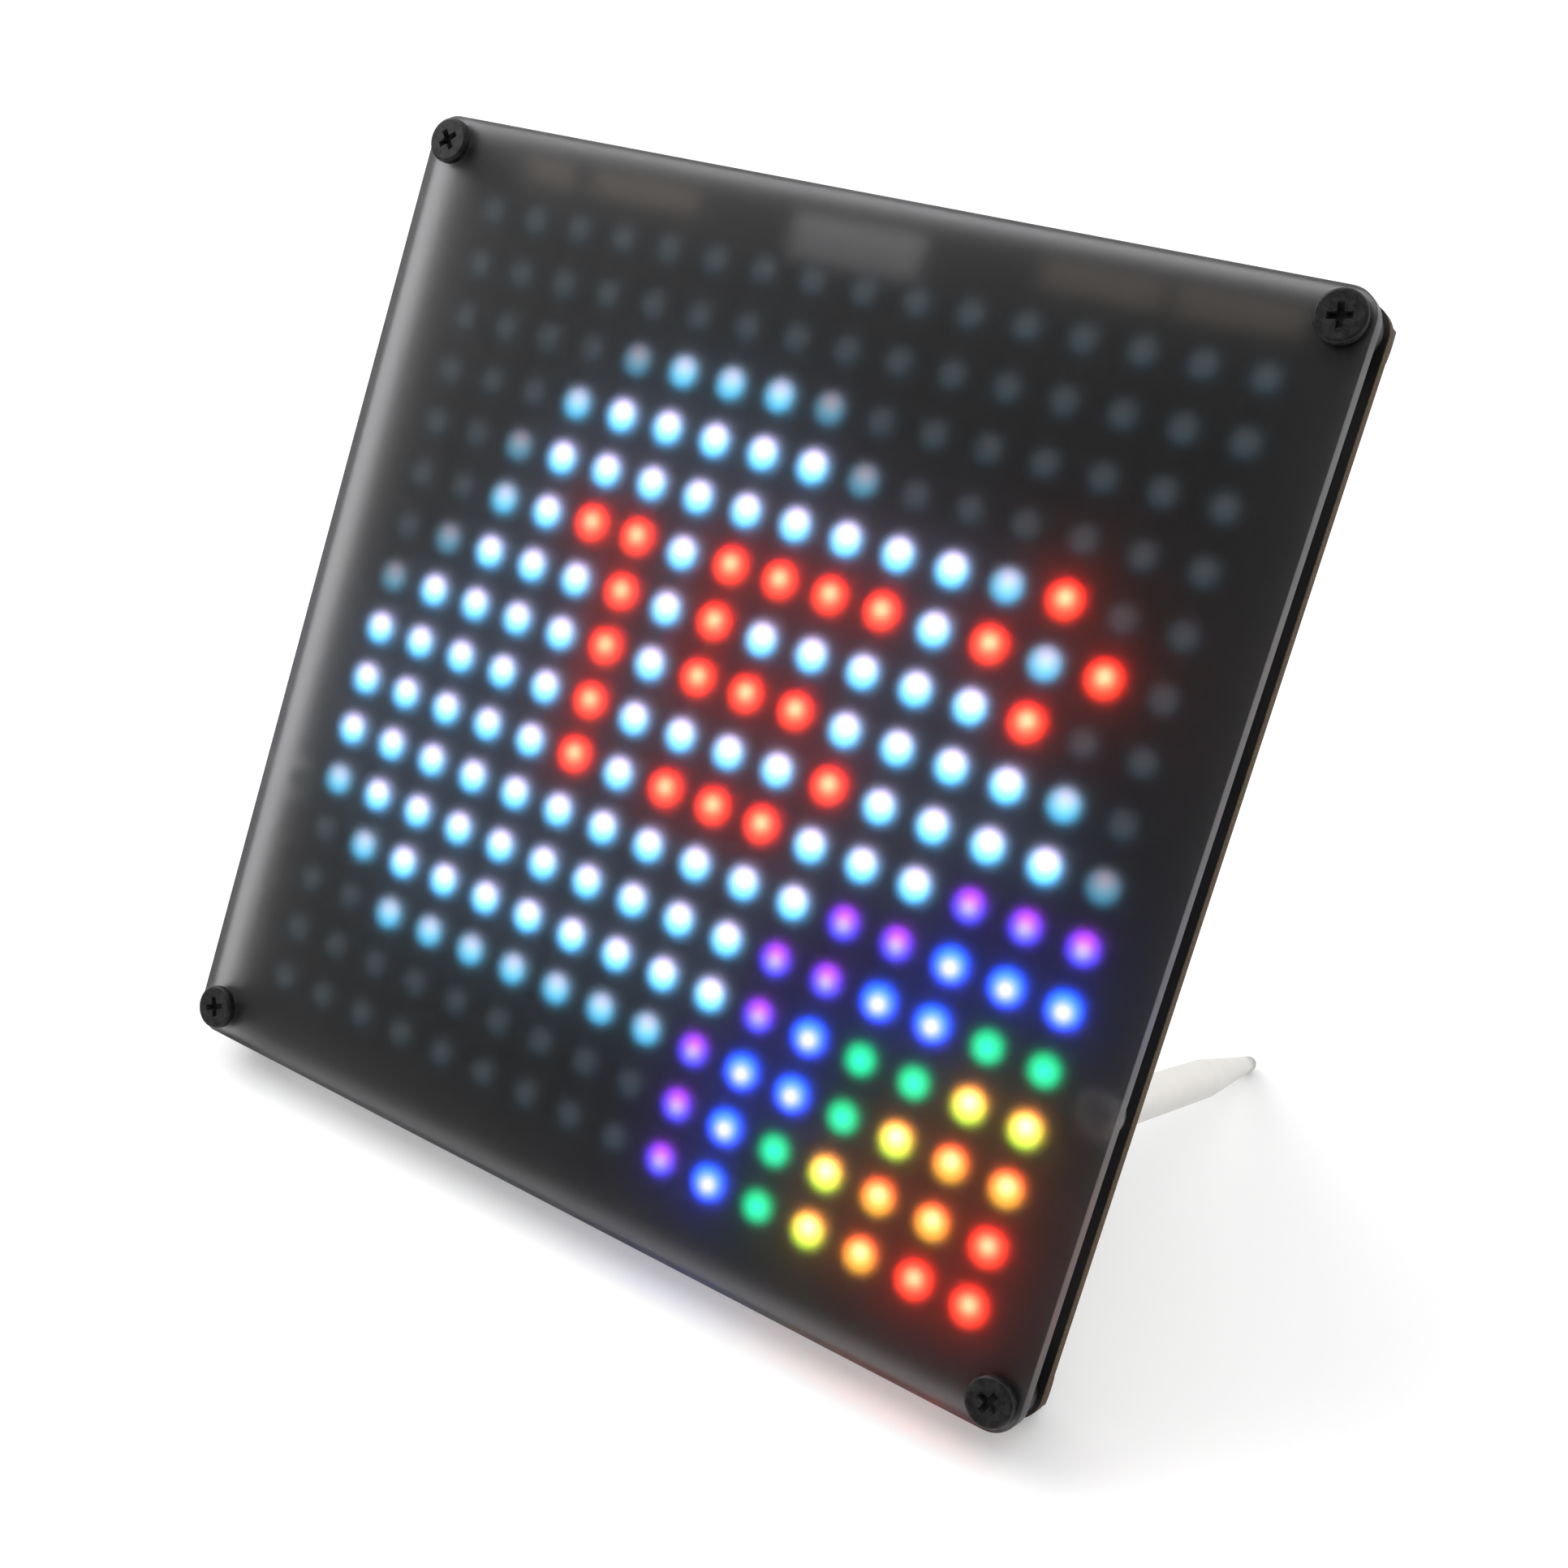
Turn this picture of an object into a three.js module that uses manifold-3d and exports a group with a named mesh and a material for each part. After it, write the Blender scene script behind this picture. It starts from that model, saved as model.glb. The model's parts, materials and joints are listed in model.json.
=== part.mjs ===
// A square LED matrix display that leans back on two spike legs screwed into its board.
// Millimetres, +Z up, the front facing -Y, the origin on the table under the middle of the display.
//
// The panel is built in its own frame: +X to the right, +Y up the panel, +Z out of the front,
// with z = 0 on the front face of the diffuser. The stack runs back from there:
// diffuser, spacers, LED board, nuts. The whole panel is then leaned back until the lower nuts
// and the leg tips touch the table together.
import * as THREE from "three";
import { mergeVertices } from "three/addons/utils/BufferGeometryUtils.js";
import Module from "manifold-3d";

const wasm = await Module();
wasm.setup();

// ---- driving dimensions ---------------------------------------------------------------------
// "above" is a height over the board's lower edge, "below" a depth under its upper edge,
// "sideways" a distance from its middle line and "inset" one from its side edge.

const SEAT_GAP = 0.05; // free space between two faces that touch
const RUNNING_GAP = 0.1; // radial clearance of a sliding plunger
const THREAD_GAP = 0.05; // radial clearance of a screw in its thread
const HOLE_CLEARANCE = 0.15; // radial clearance of a screw in a plain hole
const ROUND_SEGMENTS = 24;
const SMALL_SEGMENTS = 16;

const leds = { perSide: 16, pitch: 6, size: 3.5, height: 1.9, filmThickness: 0.1 };
const edgeMargin = 2.95; // from a corner screw's axis to the panel's edge
const screwBorder = 5.8; // from the outer LED row's centre line to the corner screws
const diffuserThickness = 2;
const boardThickness = 1.6;
const spacer = { length: 3.3, radius: 2.5 };

const cornerScrew = { shankRadius: 1.2, length: 10, headRadius: 2.45, headHeight: 0.95, headRound: 0.3 };
const crossRecess = { span: 2.3, width: 0.62, depth: 0.65 };
const nut = { acrossFlats: 5, thickness: 2 };

const leg = { length: 50.5, radius: 2.1, chamfer: 0.3, taper: 20, tipRadius: 0.85 };
const legAbove = 30.75;
const legScrew = { shankRadius: 1.2, length: 7, headRadius: 2.3, headHeight: 1.6, headRound: 0.5 };
const legThreadDepth = 6.5;

const userSwitch = { wall: 0.6, floor: 0.65, lid: 0.4 };
const userPlunger = { radius: 1.5, flange: 0.5, flangeHeight: 0.45, stands: 1.2, edge: 0.25 };
const bootSwitch = { wall: 0.45, floor: 0.3, lid: 0.3 };
const bootPlunger = { radius: 0.85, flange: 0.3, flangeHeight: 0.3, stands: 0.5, edge: 0.15 };
const buttonTravel = 0.25;
const travelReserve = 0.1;

const buttonInset = 7.75; // from the board's side edge to the middle of the buttons
const leftButtons = { below: 17.75, pitch: 12, names: ["a", "b", "c", "d"] };
const rightButtons = {
  below: 13.75,
  pitch: 10,
  names: ["sleep", "volume_up", "volume_down", "brighter", "dimmer"],
};
const resetPlace = { sideways: 19, above: 41.75 };

const controller = { width: 21, length: 51, thickness: 1, corner: 1.5, below: 16.25 };
const controllerHole = { radius: 1.05, sideways: 5.7, fromEnd: 2 };
const shield = { width: 11, length: 12.6, height: 1.8, corner: 1, fromEnd: 13.5 };
const processor = { side: 7, height: 0.9, fromEnd: 26.5 };
const usb = { width: 7.6, depth: 5.8, height: 2.7, wall: 0.35, chamfer: 0.6, overhang: 1.3 };
const usbTongue = { width: 3.8, thickness: 0.6, setback: 0.8 };
const bootPlace = { sideways: -3.8, fromEnd: 12.5 };

const speaker = { width: 30, length: 20, height: 4.2, corner: 5, rim: 2.2, above: 19.75 };
const speakerCone = { recess: 1.6, clearance: 0.15, dishRadius: 4, dishDepth: 1.1 };

const driverChip = { width: 8.7, length: 4, height: 1.55, leadReach: 1, leadThickness: 0.25 };
const driverRows = { sideways: 25, below: 23.75, pitch: 24 };
const amplifier = { side: 4, height: 1, sideways: 24, above: 19.75 };

const batterySocket = { width: 7.9, depth: 7.6, height: 5, wall: 0.7 };
const batteryPins = { count: 2, pitch: 2, thickness: 0.6, reach: 4.5 };
const batterySocketAbove = 17.75;
const sensorSocket = { width: 6, depth: 4.3, height: 3, wall: 0.55 };
const sensorPins = { count: 4, pitch: 1, thickness: 0.35, reach: 2.6 };
const sensorSocketsAbove = [20.75, 12.25];
const socketInset = 1.6; // from a socket's mouth to the board's edge

const lightSensor = { side: 2.4, height: 1, inset: 3.55, above: 21.25 };

// ---- derived dimensions ---------------------------------------------------------------------

const screwOffset = ((leds.perSide - 1) * leds.pitch) / 2 + screwBorder;
const panelHalf = screwOffset + edgeMargin;
const diffuserBack = -diffuserThickness;
const boardFront = diffuserBack - spacer.length - 2 * SEAT_GAP;
const boardBack = boardFront - boardThickness;
const nutBack = boardBack - SEAT_GAP - nut.thickness;
const screwHoleRadius = cornerScrew.shankRadius + HOLE_CLEARANCE;
const above = (height) => height - panelHalf;
const below = (depth) => panelHalf - depth;
const legPlace = [screwOffset, above(legAbove)];
const corners = [
  // name, side across, side up, turn of the cross recess in degrees
  ["top_left", -1, 1, 40],
  ["top_right", 1, 1, 12],
  ["bottom_left", -1, -1, 24],
  ["bottom_right", 1, -1, 66],
];

// ---- materials ------------------------------------------------------------------------------

const finish = (color, roughness, metalness = 0) =>
  new THREE.MeshStandardMaterial({ color, roughness, metalness });
const smokedAcrylic = finish(0x2b2a2c, 0.45);
const blackNylon = finish(0x1b1b1c, 0.55);
const blackSolderMask = finish(0x141416, 0.4);
const greenSolderMask = finish(0x1d5a34, 0.4);
const ledHousing = finish(0xe6e6e0, 0.4);
const satinAluminium = finish(0xcfcfcd, 0.32, 1);
const zincSteel = finish(0xb9b9b6, 0.35, 1);
const tinPlate = finish(0xc8c8c4, 0.28, 1);
const chipResin = finish(0x1a1a1c, 0.6);
const ivoryPlastic = finish(0xe4ddcb, 0.45);
const blackPlastic = finish(0x161617, 0.5);
const speakerPaper = finish(0x2a2926, 0.85);
const clearSensor = finish(0x9aa0a6, 0.2);

// ---- solids ---------------------------------------------------------------------------------

// A closed three.js geometry as a manifold-3d solid.
function solid(geometry) {
  const bare = geometry.index ? geometry.toNonIndexed() : geometry.clone();
  bare.deleteAttribute("normal");
  bare.deleteAttribute("uv");
  const merged = mergeVertices(bare, 1e-4);
  return new wasm.Manifold(
    new wasm.Mesh({
      numProp: 3,
      vertProperties: merged.attributes.position.array,
      triVerts: new Uint32Array(merged.index.array),
    }),
  );
}

// A manifold-3d solid as a three.js geometry.
function geometryOf(body) {
  const mesh = body.getMesh();
  const positions = new Float32Array(mesh.numVert * 3);
  for (let i = 0; i < mesh.numVert; i++) {
    positions.set(mesh.vertProperties.subarray(i * mesh.numProp, i * mesh.numProp + 3), i * 3);
  }
  return new THREE.BufferGeometry()
    .setAttribute("position", new THREE.BufferAttribute(positions, 3))
    .setIndex(new THREE.BufferAttribute(new Uint32Array(mesh.triVerts), 1));
}

// base with every cutter taken away and every addition joined on.
function carve(base, { cut = [], add = [] }) {
  let body = solid(base);
  for (const cutter of cut) body = body.subtract(solid(cutter));
  for (const addition of add) body = body.add(solid(addition));
  return geometryOf(body);
}

// A box from low to high along each axis.
function block(x0, x1, y0, y1, z0, z1) {
  return new THREE.BoxGeometry(x1 - x0, y1 - y0, z1 - z0).translate(
    (x0 + x1) / 2,
    (y0 + y1) / 2,
    (z0 + z1) / 2,
  );
}

// A flat square package standing on z = 0.
function squareChip({ side, height }) {
  return new THREE.BoxGeometry(side, side, height).translate(0, 0, height / 2);
}

// A turned piece along Z from its [radius, z] outline, listed from the bottom up.
function turned(outline, segments = ROUND_SEGMENTS) {
  const points = outline.map(([radius, z]) => new THREE.Vector2(radius, z));
  return new THREE.LatheGeometry(points, segments).rotateX(Math.PI / 2);
}

// A quarter round of an outline, from the angle at its start to the angle at its end.
function arc(centreRadius, centreZ, radius, fromDegrees, toDegrees, steps) {
  return Array.from({ length: steps + 1 }, (_, i) => {
    const angle = THREE.MathUtils.degToRad(fromDegrees + ((toDegrees - fromDegrees) * i) / steps);
    return [centreRadius + radius * Math.cos(angle), centreZ + radius * Math.sin(angle)];
  });
}

// A plate outline with round corners.
function roundedRectangle(width, length, corner) {
  const x = width / 2;
  const y = length / 2;
  const outline = new THREE.Shape();
  outline.moveTo(-x + corner, -y);
  outline.lineTo(x - corner, -y);
  outline.absarc(x - corner, -y + corner, corner, -Math.PI / 2, 0);
  outline.lineTo(x, y - corner);
  outline.absarc(x - corner, y - corner, corner, 0, Math.PI / 2);
  outline.lineTo(-x + corner, y);
  outline.absarc(-x + corner, y - corner, corner, Math.PI / 2, Math.PI);
  outline.lineTo(-x, -y + corner);
  outline.absarc(-x + corner, -y + corner, corner, Math.PI, 1.5 * Math.PI);
  return outline;
}

function roundHole(outline, x, y, radius) {
  const hole = new THREE.Path();
  hole.absarc(x, y, radius, 0, 2 * Math.PI);
  outline.holes.push(hole);
}

function plate(outline, z0, z1) {
  const depth = z1 - z0;
  const shape = { depth, bevelEnabled: false, curveSegments: ROUND_SEGMENTS / 4 };
  return new THREE.ExtrudeGeometry(outline, shape).translate(0, 0, z0);
}

// ---- the group ------------------------------------------------------------------------------

const display = new THREE.Group();
const panel = new THREE.Group();
display.add(panel);

function place(name, geometry, material, x = 0, y = 0, z = 0) {
  const mesh = new THREE.Mesh(geometry, material);
  mesh.name = name;
  mesh.position.set(x, y, z);
  panel.add(mesh);
  return mesh;
}

// A piece modelled standing on z = 0, set on the back of the LED board and facing backwards.
function placeOnBack(name, geometry, material, x, y, raised = 0) {
  const mesh = place(name, geometry, material, x, y, boardBack - SEAT_GAP - raised);
  mesh.rotation.y = Math.PI;
  return mesh;
}

// ---- diffuser, board and corner fixings -----------------------------------------------------

function screwedPlate(z0, z1, withLegHoles) {
  const outline = roundedRectangle(2 * panelHalf, 2 * panelHalf, edgeMargin);
  for (const [, sideX, sideY] of corners) {
    roundHole(outline, sideX * screwOffset, sideY * screwOffset, screwHoleRadius);
  }
  if (withLegHoles) {
    for (const side of [-1, 1]) {
      roundHole(outline, side * legPlace[0], legPlace[1], legScrew.shankRadius + HOLE_CLEARANCE);
    }
  }
  return plate(outline, z0, z1);
}

// A round-edged screw head with a cross recess on a plain shank, its head's seat at z = 0.
function crossHeadScrew({ shankRadius, length, headRadius, headHeight, headRound }, driveAngle) {
  const roundSteps = 3;
  const body = turned([
    [0, -length],
    [shankRadius, -length],
    [shankRadius, 0],
    [headRadius, 0],
    ...arc(headRadius - headRound, headHeight - headRound, headRound, 0, 90, roundSteps),
    [0, headHeight],
  ]);
  const { span, width, depth } = crossRecess;
  const slots = [0, 90].map((quarter) =>
    block(-span / 2, span / 2, -width / 2, width / 2, headHeight - depth, headHeight + depth).rotateZ(
      THREE.MathUtils.degToRad(driveAngle + quarter),
    ),
  );
  return carve(body, { cut: slots });
}

function hexNut() {
  const cornerRadius = nut.acrossFlats / Math.sqrt(3);
  const hexagon = new THREE.Shape(
    Array.from({ length: 6 }, (_, i) => {
      const angle = (i * Math.PI) / 3;
      return new THREE.Vector2(cornerRadius * Math.cos(angle), cornerRadius * Math.sin(angle));
    }),
  );
  roundHole(hexagon, 0, 0, cornerScrew.shankRadius + THREAD_GAP);
  return plate(hexagon, 0, nut.thickness);
}

function spacerTube() {
  const ring = new THREE.Shape();
  ring.absarc(0, 0, spacer.radius, 0, 2 * Math.PI);
  roundHole(ring, 0, 0, screwHoleRadius);
  return plate(ring, 0, spacer.length);
}

place("diffuser", screwedPlate(diffuserBack, 0, false), smokedAcrylic);
place("matrix_board", screwedPlate(boardBack, boardFront, true), blackSolderMask);
for (const [corner, sideX, sideY, driveAngle] of corners) {
  const x = sideX * screwOffset;
  const y = sideY * screwOffset;
  place(`screw_${corner}`, crossHeadScrew(cornerScrew, driveAngle), blackNylon, x, y, SEAT_GAP);
  place(`spacer_${corner}`, spacerTube(), blackNylon, x, y, boardFront + SEAT_GAP);
  placeOnBack(`nut_${corner}`, hexNut(), blackNylon, x, y);
}

// ---- LEDs -----------------------------------------------------------------------------------

// One quarter of the matrix: its packages stand on one thin film of solder.
function ledBlock() {
  const perBlock = leds.perSide / 2;
  const filmHalf = (perBlock * leds.pitch) / 2 - (leds.pitch - leds.size) / 4;
  const film = block(-filmHalf, filmHalf, -filmHalf, filmHalf, 0, leds.filmThickness);
  const packages = [];
  for (let row = 0; row < perBlock; row++) {
    for (let column = 0; column < perBlock; column++) {
      const x = (column - (perBlock - 1) / 2) * leds.pitch;
      const y = (row - (perBlock - 1) / 2) * leds.pitch;
      const half = leds.size / 2;
      packages.push(block(x - half, x + half, y - half, y + half, 0, leds.height));
    }
  }
  return carve(film, { add: packages });
}

const blockShift = (leds.perSide * leds.pitch) / 4;
for (const [corner, sideX, sideY] of corners) {
  const z = boardFront + SEAT_GAP;
  place(`leds_${corner}`, ledBlock(), ledHousing, sideX * blockShift, sideY * blockShift, z);
}

place(
  "light_sensor",
  squareChip(lightSensor),
  clearSensor,
  panelHalf - lightSensor.inset,
  above(lightSensor.above),
  boardFront + SEAT_GAP,
);

// ---- legs -----------------------------------------------------------------------------------

// A round rod with a tapered end, a round tip and a threaded blind hole, its seat at z = 0.
function spikeLeg() {
  const tipSteps = 4;
  const { radius, chamfer, taper, tipRadius, length } = leg;
  const boreRadius = legScrew.shankRadius + THREAD_GAP;
  return turned([
    [0, legThreadDepth],
    [boreRadius, legThreadDepth],
    [boreRadius, 0],
    [radius - chamfer, 0],
    [radius, chamfer],
    [radius, length - taper],
    ...arc(0, length - tipRadius, tipRadius, 0, 90, tipSteps).slice(0, -1),
    [0, length],
  ]);
}

for (const [side, sign] of [["left", -1], ["right", 1]]) {
  const [x, y] = [sign * legPlace[0], legPlace[1]];
  placeOnBack(`leg_${side}`, spikeLeg(), satinAluminium, x, y);
  place(`leg_screw_${side}`, crossHeadScrew(legScrew, 30 * sign), zincSteel, x, y, boardFront + SEAT_GAP);
}

// ---- buttons --------------------------------------------------------------------------------

// The levels inside a switch, from its base up, so that the plunger has its whole travel.
function switchLevels({ floor, lid }, { flangeHeight, stands }) {
  const flangeBottom = floor + travelReserve + buttonTravel;
  const lidBottom = flangeBottom + flangeHeight + SEAT_GAP;
  const top = lidBottom + lid;
  return { floor, flangeBottom, lidBottom, top, buttonTop: top + stands };
}

// A square switch housing with a stepped well: wide for the flange, narrow where the stem comes out.
function switchHousing(housing, stem) {
  const { floor, lidBottom, top } = switchLevels(housing, stem);
  const mouthRadius = stem.radius + RUNNING_GAP;
  const wellRadius = mouthRadius + stem.flange;
  const body = squareChip({ side: 2 * (wellRadius + housing.wall), height: top });
  const well = turned(
    [
      [0, floor],
      [wellRadius, floor],
      [wellRadius, lidBottom],
      [mouthRadius, lidBottom],
      [mouthRadius, top + housing.lid],
      [0, top + housing.lid],
    ],
    SMALL_SEGMENTS,
  );
  return carve(body, { cut: [well] });
}

// The plunger at rest: its flange under the lid, with the whole travel free below it.
function switchPlunger(housing, stem) {
  const { flangeBottom, lidBottom, buttonTop } = switchLevels(housing, stem);
  const flangeRadius = stem.radius + stem.flange;
  const flangeTop = lidBottom - SEAT_GAP;
  return turned(
    [
      [0, flangeBottom],
      [flangeRadius, flangeBottom],
      [flangeRadius, flangeTop],
      [stem.radius, flangeTop],
      [stem.radius, buttonTop - stem.edge],
      [stem.radius - stem.edge, buttonTop],
      [0, buttonTop],
    ],
    SMALL_SEGMENTS,
  );
}

function placeSwitch(name, x, y, housing = userSwitch, stem = userPlunger, raised = 0) {
  placeOnBack(`switch_${name}`, switchHousing(housing, stem), blackPlastic, x, y, raised);
  placeOnBack(`button_${name}`, switchPlunger(housing, stem), ivoryPlastic, x, y, raised);
}

for (const [side, buttons] of [[-1, leftButtons], [1, rightButtons]]) {
  const x = side * (panelHalf - buttonInset);
  buttons.names.forEach((name, i) => placeSwitch(name, x, below(buttons.below + i * buttons.pitch)));
}
placeSwitch("reset", resetPlace.sideways, above(resetPlace.above));

// ---- controller board -----------------------------------------------------------------------

const controllerTop = controller.thickness + SEAT_GAP;
const controllerEnd = below(controller.below);
const controllerMiddle = controllerEnd - controller.length / 2;
const controllerStart = controllerEnd - controller.length;

function controllerPlate() {
  const outline = roundedRectangle(controller.width, controller.length, controller.corner);
  for (const side of [-1, 1]) {
    for (const end of [-1, 1]) {
      const y = end * (controller.length / 2 - controllerHole.fromEnd);
      roundHole(outline, side * controllerHole.sideways, y, controllerHole.radius);
    }
  }
  return plate(outline, 0, controller.thickness);
}

// A socket shell with an open mouth towards +Y and a floor plate with pins inside.
function usbShell() {
  const { width, depth, height, wall, chamfer } = usb;
  const half = width / 2;
  const profile = new THREE.Shape();
  profile.moveTo(-half + chamfer, 0);
  profile.lineTo(half - chamfer, 0);
  profile.lineTo(half, chamfer);
  profile.lineTo(half, height);
  profile.lineTo(-half, height);
  profile.lineTo(-half, chamfer);
  profile.closePath();
  const shell = plate(profile, 0, depth).rotateX(-Math.PI / 2).translate(0, 0, height);
  const mouth = block(-half + wall, half - wall, wall, depth + wall, wall, height - wall);
  const middle = height / 2;
  const tongueHalf = usbTongue.width / 2;
  const [tongueLow, tongueHigh] = [middle - usbTongue.thickness / 2, middle + usbTongue.thickness / 2];
  const tongueEnd = depth - usbTongue.setback;
  const tongue = block(-tongueHalf, tongueHalf, wall / 2, tongueEnd, tongueLow, tongueHigh);
  return carve(shell, { cut: [mouth], add: [tongue] }).translate(0, -depth / 2, 0);
}

placeOnBack("controller_board", controllerPlate(), greenSolderMask, 0, controllerMiddle);
placeOnBack(
  "radio_shield",
  plate(roundedRectangle(shield.width, shield.length, shield.corner), 0, shield.height),
  tinPlate,
  0,
  controllerStart + shield.fromEnd,
  controllerTop,
);
placeOnBack(
  "processor_chip",
  squareChip(processor),
  chipResin,
  0,
  controllerStart + processor.fromEnd,
  controllerTop,
);
placeOnBack(
  "usb_socket",
  usbShell(),
  tinPlate,
  0,
  controllerEnd - usb.depth / 2 + usb.overhang,
  controllerTop,
);
placeSwitch(
  "boot",
  bootPlace.sideways,
  controllerEnd - bootPlace.fromEnd,
  bootSwitch,
  bootPlunger,
  controllerTop,
);

// ---- speaker --------------------------------------------------------------------------------

function speakerOpening(clearance) {
  const trim = 2 * (speaker.rim + clearance);
  const corner = speaker.corner - speaker.rim;
  return roundedRectangle(speaker.width - trim, speaker.length - trim, corner - clearance);
}

function speakerFrame() {
  const outline = roundedRectangle(speaker.width, speaker.length, speaker.corner);
  const well = plate(speakerOpening(0), speaker.height - speakerCone.recess, speaker.height + 1);
  return carve(plate(outline, 0, speaker.height), { cut: [well] });
}

function coneSheet() {
  const { recess, clearance, dishRadius, dishDepth } = speakerCone;
  const thickness = recess - 2 * clearance;
  const sheet = plate(speakerOpening(clearance), 0, thickness);
  const dish = turned([
    [0, thickness - dishDepth],
    [dishRadius - dishDepth, thickness - dishDepth],
    [dishRadius + dishDepth, thickness + dishDepth],
    [0, thickness + dishDepth],
  ]);
  return carve(sheet, { cut: [dish] });
}

const coneSeat = speaker.height - speakerCone.recess + speakerCone.clearance;
placeOnBack("speaker_frame", speakerFrame(), blackPlastic, 0, above(speaker.above));
placeOnBack("speaker_cone", coneSheet(), speakerPaper, 0, above(speaker.above), coneSeat);

// ---- chips and sockets ----------------------------------------------------------------------

// A resin body on two rows of leads, each row as one strip.
function leadedChip({ width, length, height, leadReach, leadThickness }) {
  const x = width / 2;
  const y = length / 2;
  const reach = y + leadReach;
  const body = block(-x, x, -y, y, leadThickness / 2, height);
  const leads = block(-x + leadThickness, x - leadThickness, -reach, reach, 0, leadThickness);
  return carve(body, { add: [leads] });
}

for (let i = 0; i < 4; i++) {
  const x = i < 2 ? -driverRows.sideways : driverRows.sideways;
  const y = below(driverRows.below + (i % 2) * driverRows.pitch);
  placeOnBack(`led_driver_${i + 1}`, leadedChip(driverChip), chipResin, x, y);
}
placeOnBack(
  "amplifier_chip",
  squareChip(amplifier),
  chipResin,
  amplifier.sideways,
  above(amplifier.above),
);

// A box header with its mouth towards +X, and a row of pins on its back wall.
function boxHeader({ width, depth, height, wall }, pins) {
  const y = width / 2;
  const body = block(-depth / 2, depth / 2, -y, y, 0, height);
  const mouthLow = -depth / 2 + wall;
  const mouth = block(mouthLow, depth / 2 + wall, -y + wall, y - wall, wall, height - wall);
  const half = pins.thickness / 2;
  const [bottom, top] = [height / 2 - half, height / 2 + half];
  const contacts = Array.from({ length: pins.count }, (_, i) => {
    const across = (i - (pins.count - 1) / 2) * pins.pitch;
    const [low, high] = [across - half, across + half];
    return block(mouthLow - wall / 2, mouthLow + pins.reach, low, high, bottom, top);
  });
  return carve(body, { cut: [mouth], add: contacts });
}

// Sets a header at the board's left (-1) or right (1) edge, with its mouth facing out.
function placeSocket(name, socket, pins, side, y) {
  const x = side * (panelHalf - socketInset - socket.depth / 2);
  const geometry = boxHeader(socket, pins);
  if (side > 0) geometry.rotateZ(Math.PI);
  placeOnBack(name, geometry, ivoryPlastic, x, y);
}

placeSocket("battery_socket", batterySocket, batteryPins, -1, above(batterySocketAbove));
sensorSocketsAbove.forEach((height, i) => {
  placeSocket(`sensor_socket_${i + 1}`, sensorSocket, sensorPins, 1, above(height));
});

// ---- standing on the table ------------------------------------------------------------------

// The panel leans back from the vertical until a lower nut's edge and a leg's tip are level.
const nutFoot = { up: -screwOffset - nut.acrossFlats / 2, out: nutBack };
const tipCentre = { up: legPlace[1], out: boardBack - SEAT_GAP - leg.length + leg.tipRadius };
const rise = tipCentre.up - nutFoot.up;
const reach = nutFoot.out - tipCentre.out;
const lean = Math.atan2(rise, reach) - Math.asin(leg.tipRadius / Math.hypot(rise, reach));
panel.rotation.x = Math.PI / 2 - lean;

// The whole display is then set down on the table, over the origin.
display.updateMatrixWorld(true);
const extent = new THREE.Box3().setFromObject(display, true);
const middle = extent.getCenter(new THREE.Vector3());
panel.position.set(-middle.x, -middle.y, -extent.min.z);

export default display;
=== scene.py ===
"""Looks of the LED matrix display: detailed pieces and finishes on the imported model, and the studio."""

import json
import math

import bmesh
import bpy
from mathutils import Matrix, Quaternion, Vector


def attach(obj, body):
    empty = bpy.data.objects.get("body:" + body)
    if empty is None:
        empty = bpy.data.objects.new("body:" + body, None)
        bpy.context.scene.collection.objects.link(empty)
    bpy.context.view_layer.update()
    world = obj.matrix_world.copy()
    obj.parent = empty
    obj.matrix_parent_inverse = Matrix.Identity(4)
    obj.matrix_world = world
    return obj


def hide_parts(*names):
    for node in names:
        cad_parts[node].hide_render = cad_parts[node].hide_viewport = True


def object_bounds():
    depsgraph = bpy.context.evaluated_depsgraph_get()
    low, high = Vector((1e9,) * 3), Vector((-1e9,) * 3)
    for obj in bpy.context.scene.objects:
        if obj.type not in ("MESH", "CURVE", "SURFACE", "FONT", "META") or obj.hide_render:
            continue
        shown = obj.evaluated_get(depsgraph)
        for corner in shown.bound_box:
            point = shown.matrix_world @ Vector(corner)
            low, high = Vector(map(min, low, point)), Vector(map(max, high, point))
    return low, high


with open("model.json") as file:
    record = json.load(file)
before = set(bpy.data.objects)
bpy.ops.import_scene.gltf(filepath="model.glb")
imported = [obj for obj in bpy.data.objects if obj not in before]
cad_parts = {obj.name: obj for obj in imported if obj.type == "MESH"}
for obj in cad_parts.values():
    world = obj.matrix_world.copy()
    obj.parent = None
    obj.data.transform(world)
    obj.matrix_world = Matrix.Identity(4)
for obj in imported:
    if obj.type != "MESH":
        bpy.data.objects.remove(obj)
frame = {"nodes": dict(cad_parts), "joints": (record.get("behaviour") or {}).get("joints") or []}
cad_low, cad_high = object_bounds()

# ---- the panel's own frame ------------------------------------------------------------------
# Pieces are made in millimetres in the panel's frame: +X to the right, +Y up the panel and +Z out of
# its front, with z = 0 on the front of the diffuser. PANEL takes them to the table's frame in metres.

MM = 0.001
ACROSS = Vector((1.0, 0.0, 0.0))
OUT = Vector(frame["joints"][0]["axis"]).normalized()
UP = OUT.cross(ACROSS)


def extent(points):
    """The lowest and highest corner of the box round some points."""
    columns = list(zip(*points))
    return Vector([min(c) for c in columns]), Vector([max(c) for c in columns])


def panel_frame():
    turn = Matrix((ACROSS, UP, OUT)).transposed()
    plate = frame["nodes"]["diffuser"].data.vertices
    low, high = extent([turn.transposed() @ v.co for v in plate])
    front_middle = turn @ Vector(((low.x + high.x) / 2, (low.y + high.y) / 2, high.z))
    return Matrix.Translation(front_middle) @ turn.to_4x4() @ Matrix.Scale(MM, 4)


PANEL = panel_frame()
FROM_TABLE = PANEL.inverted()


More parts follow.
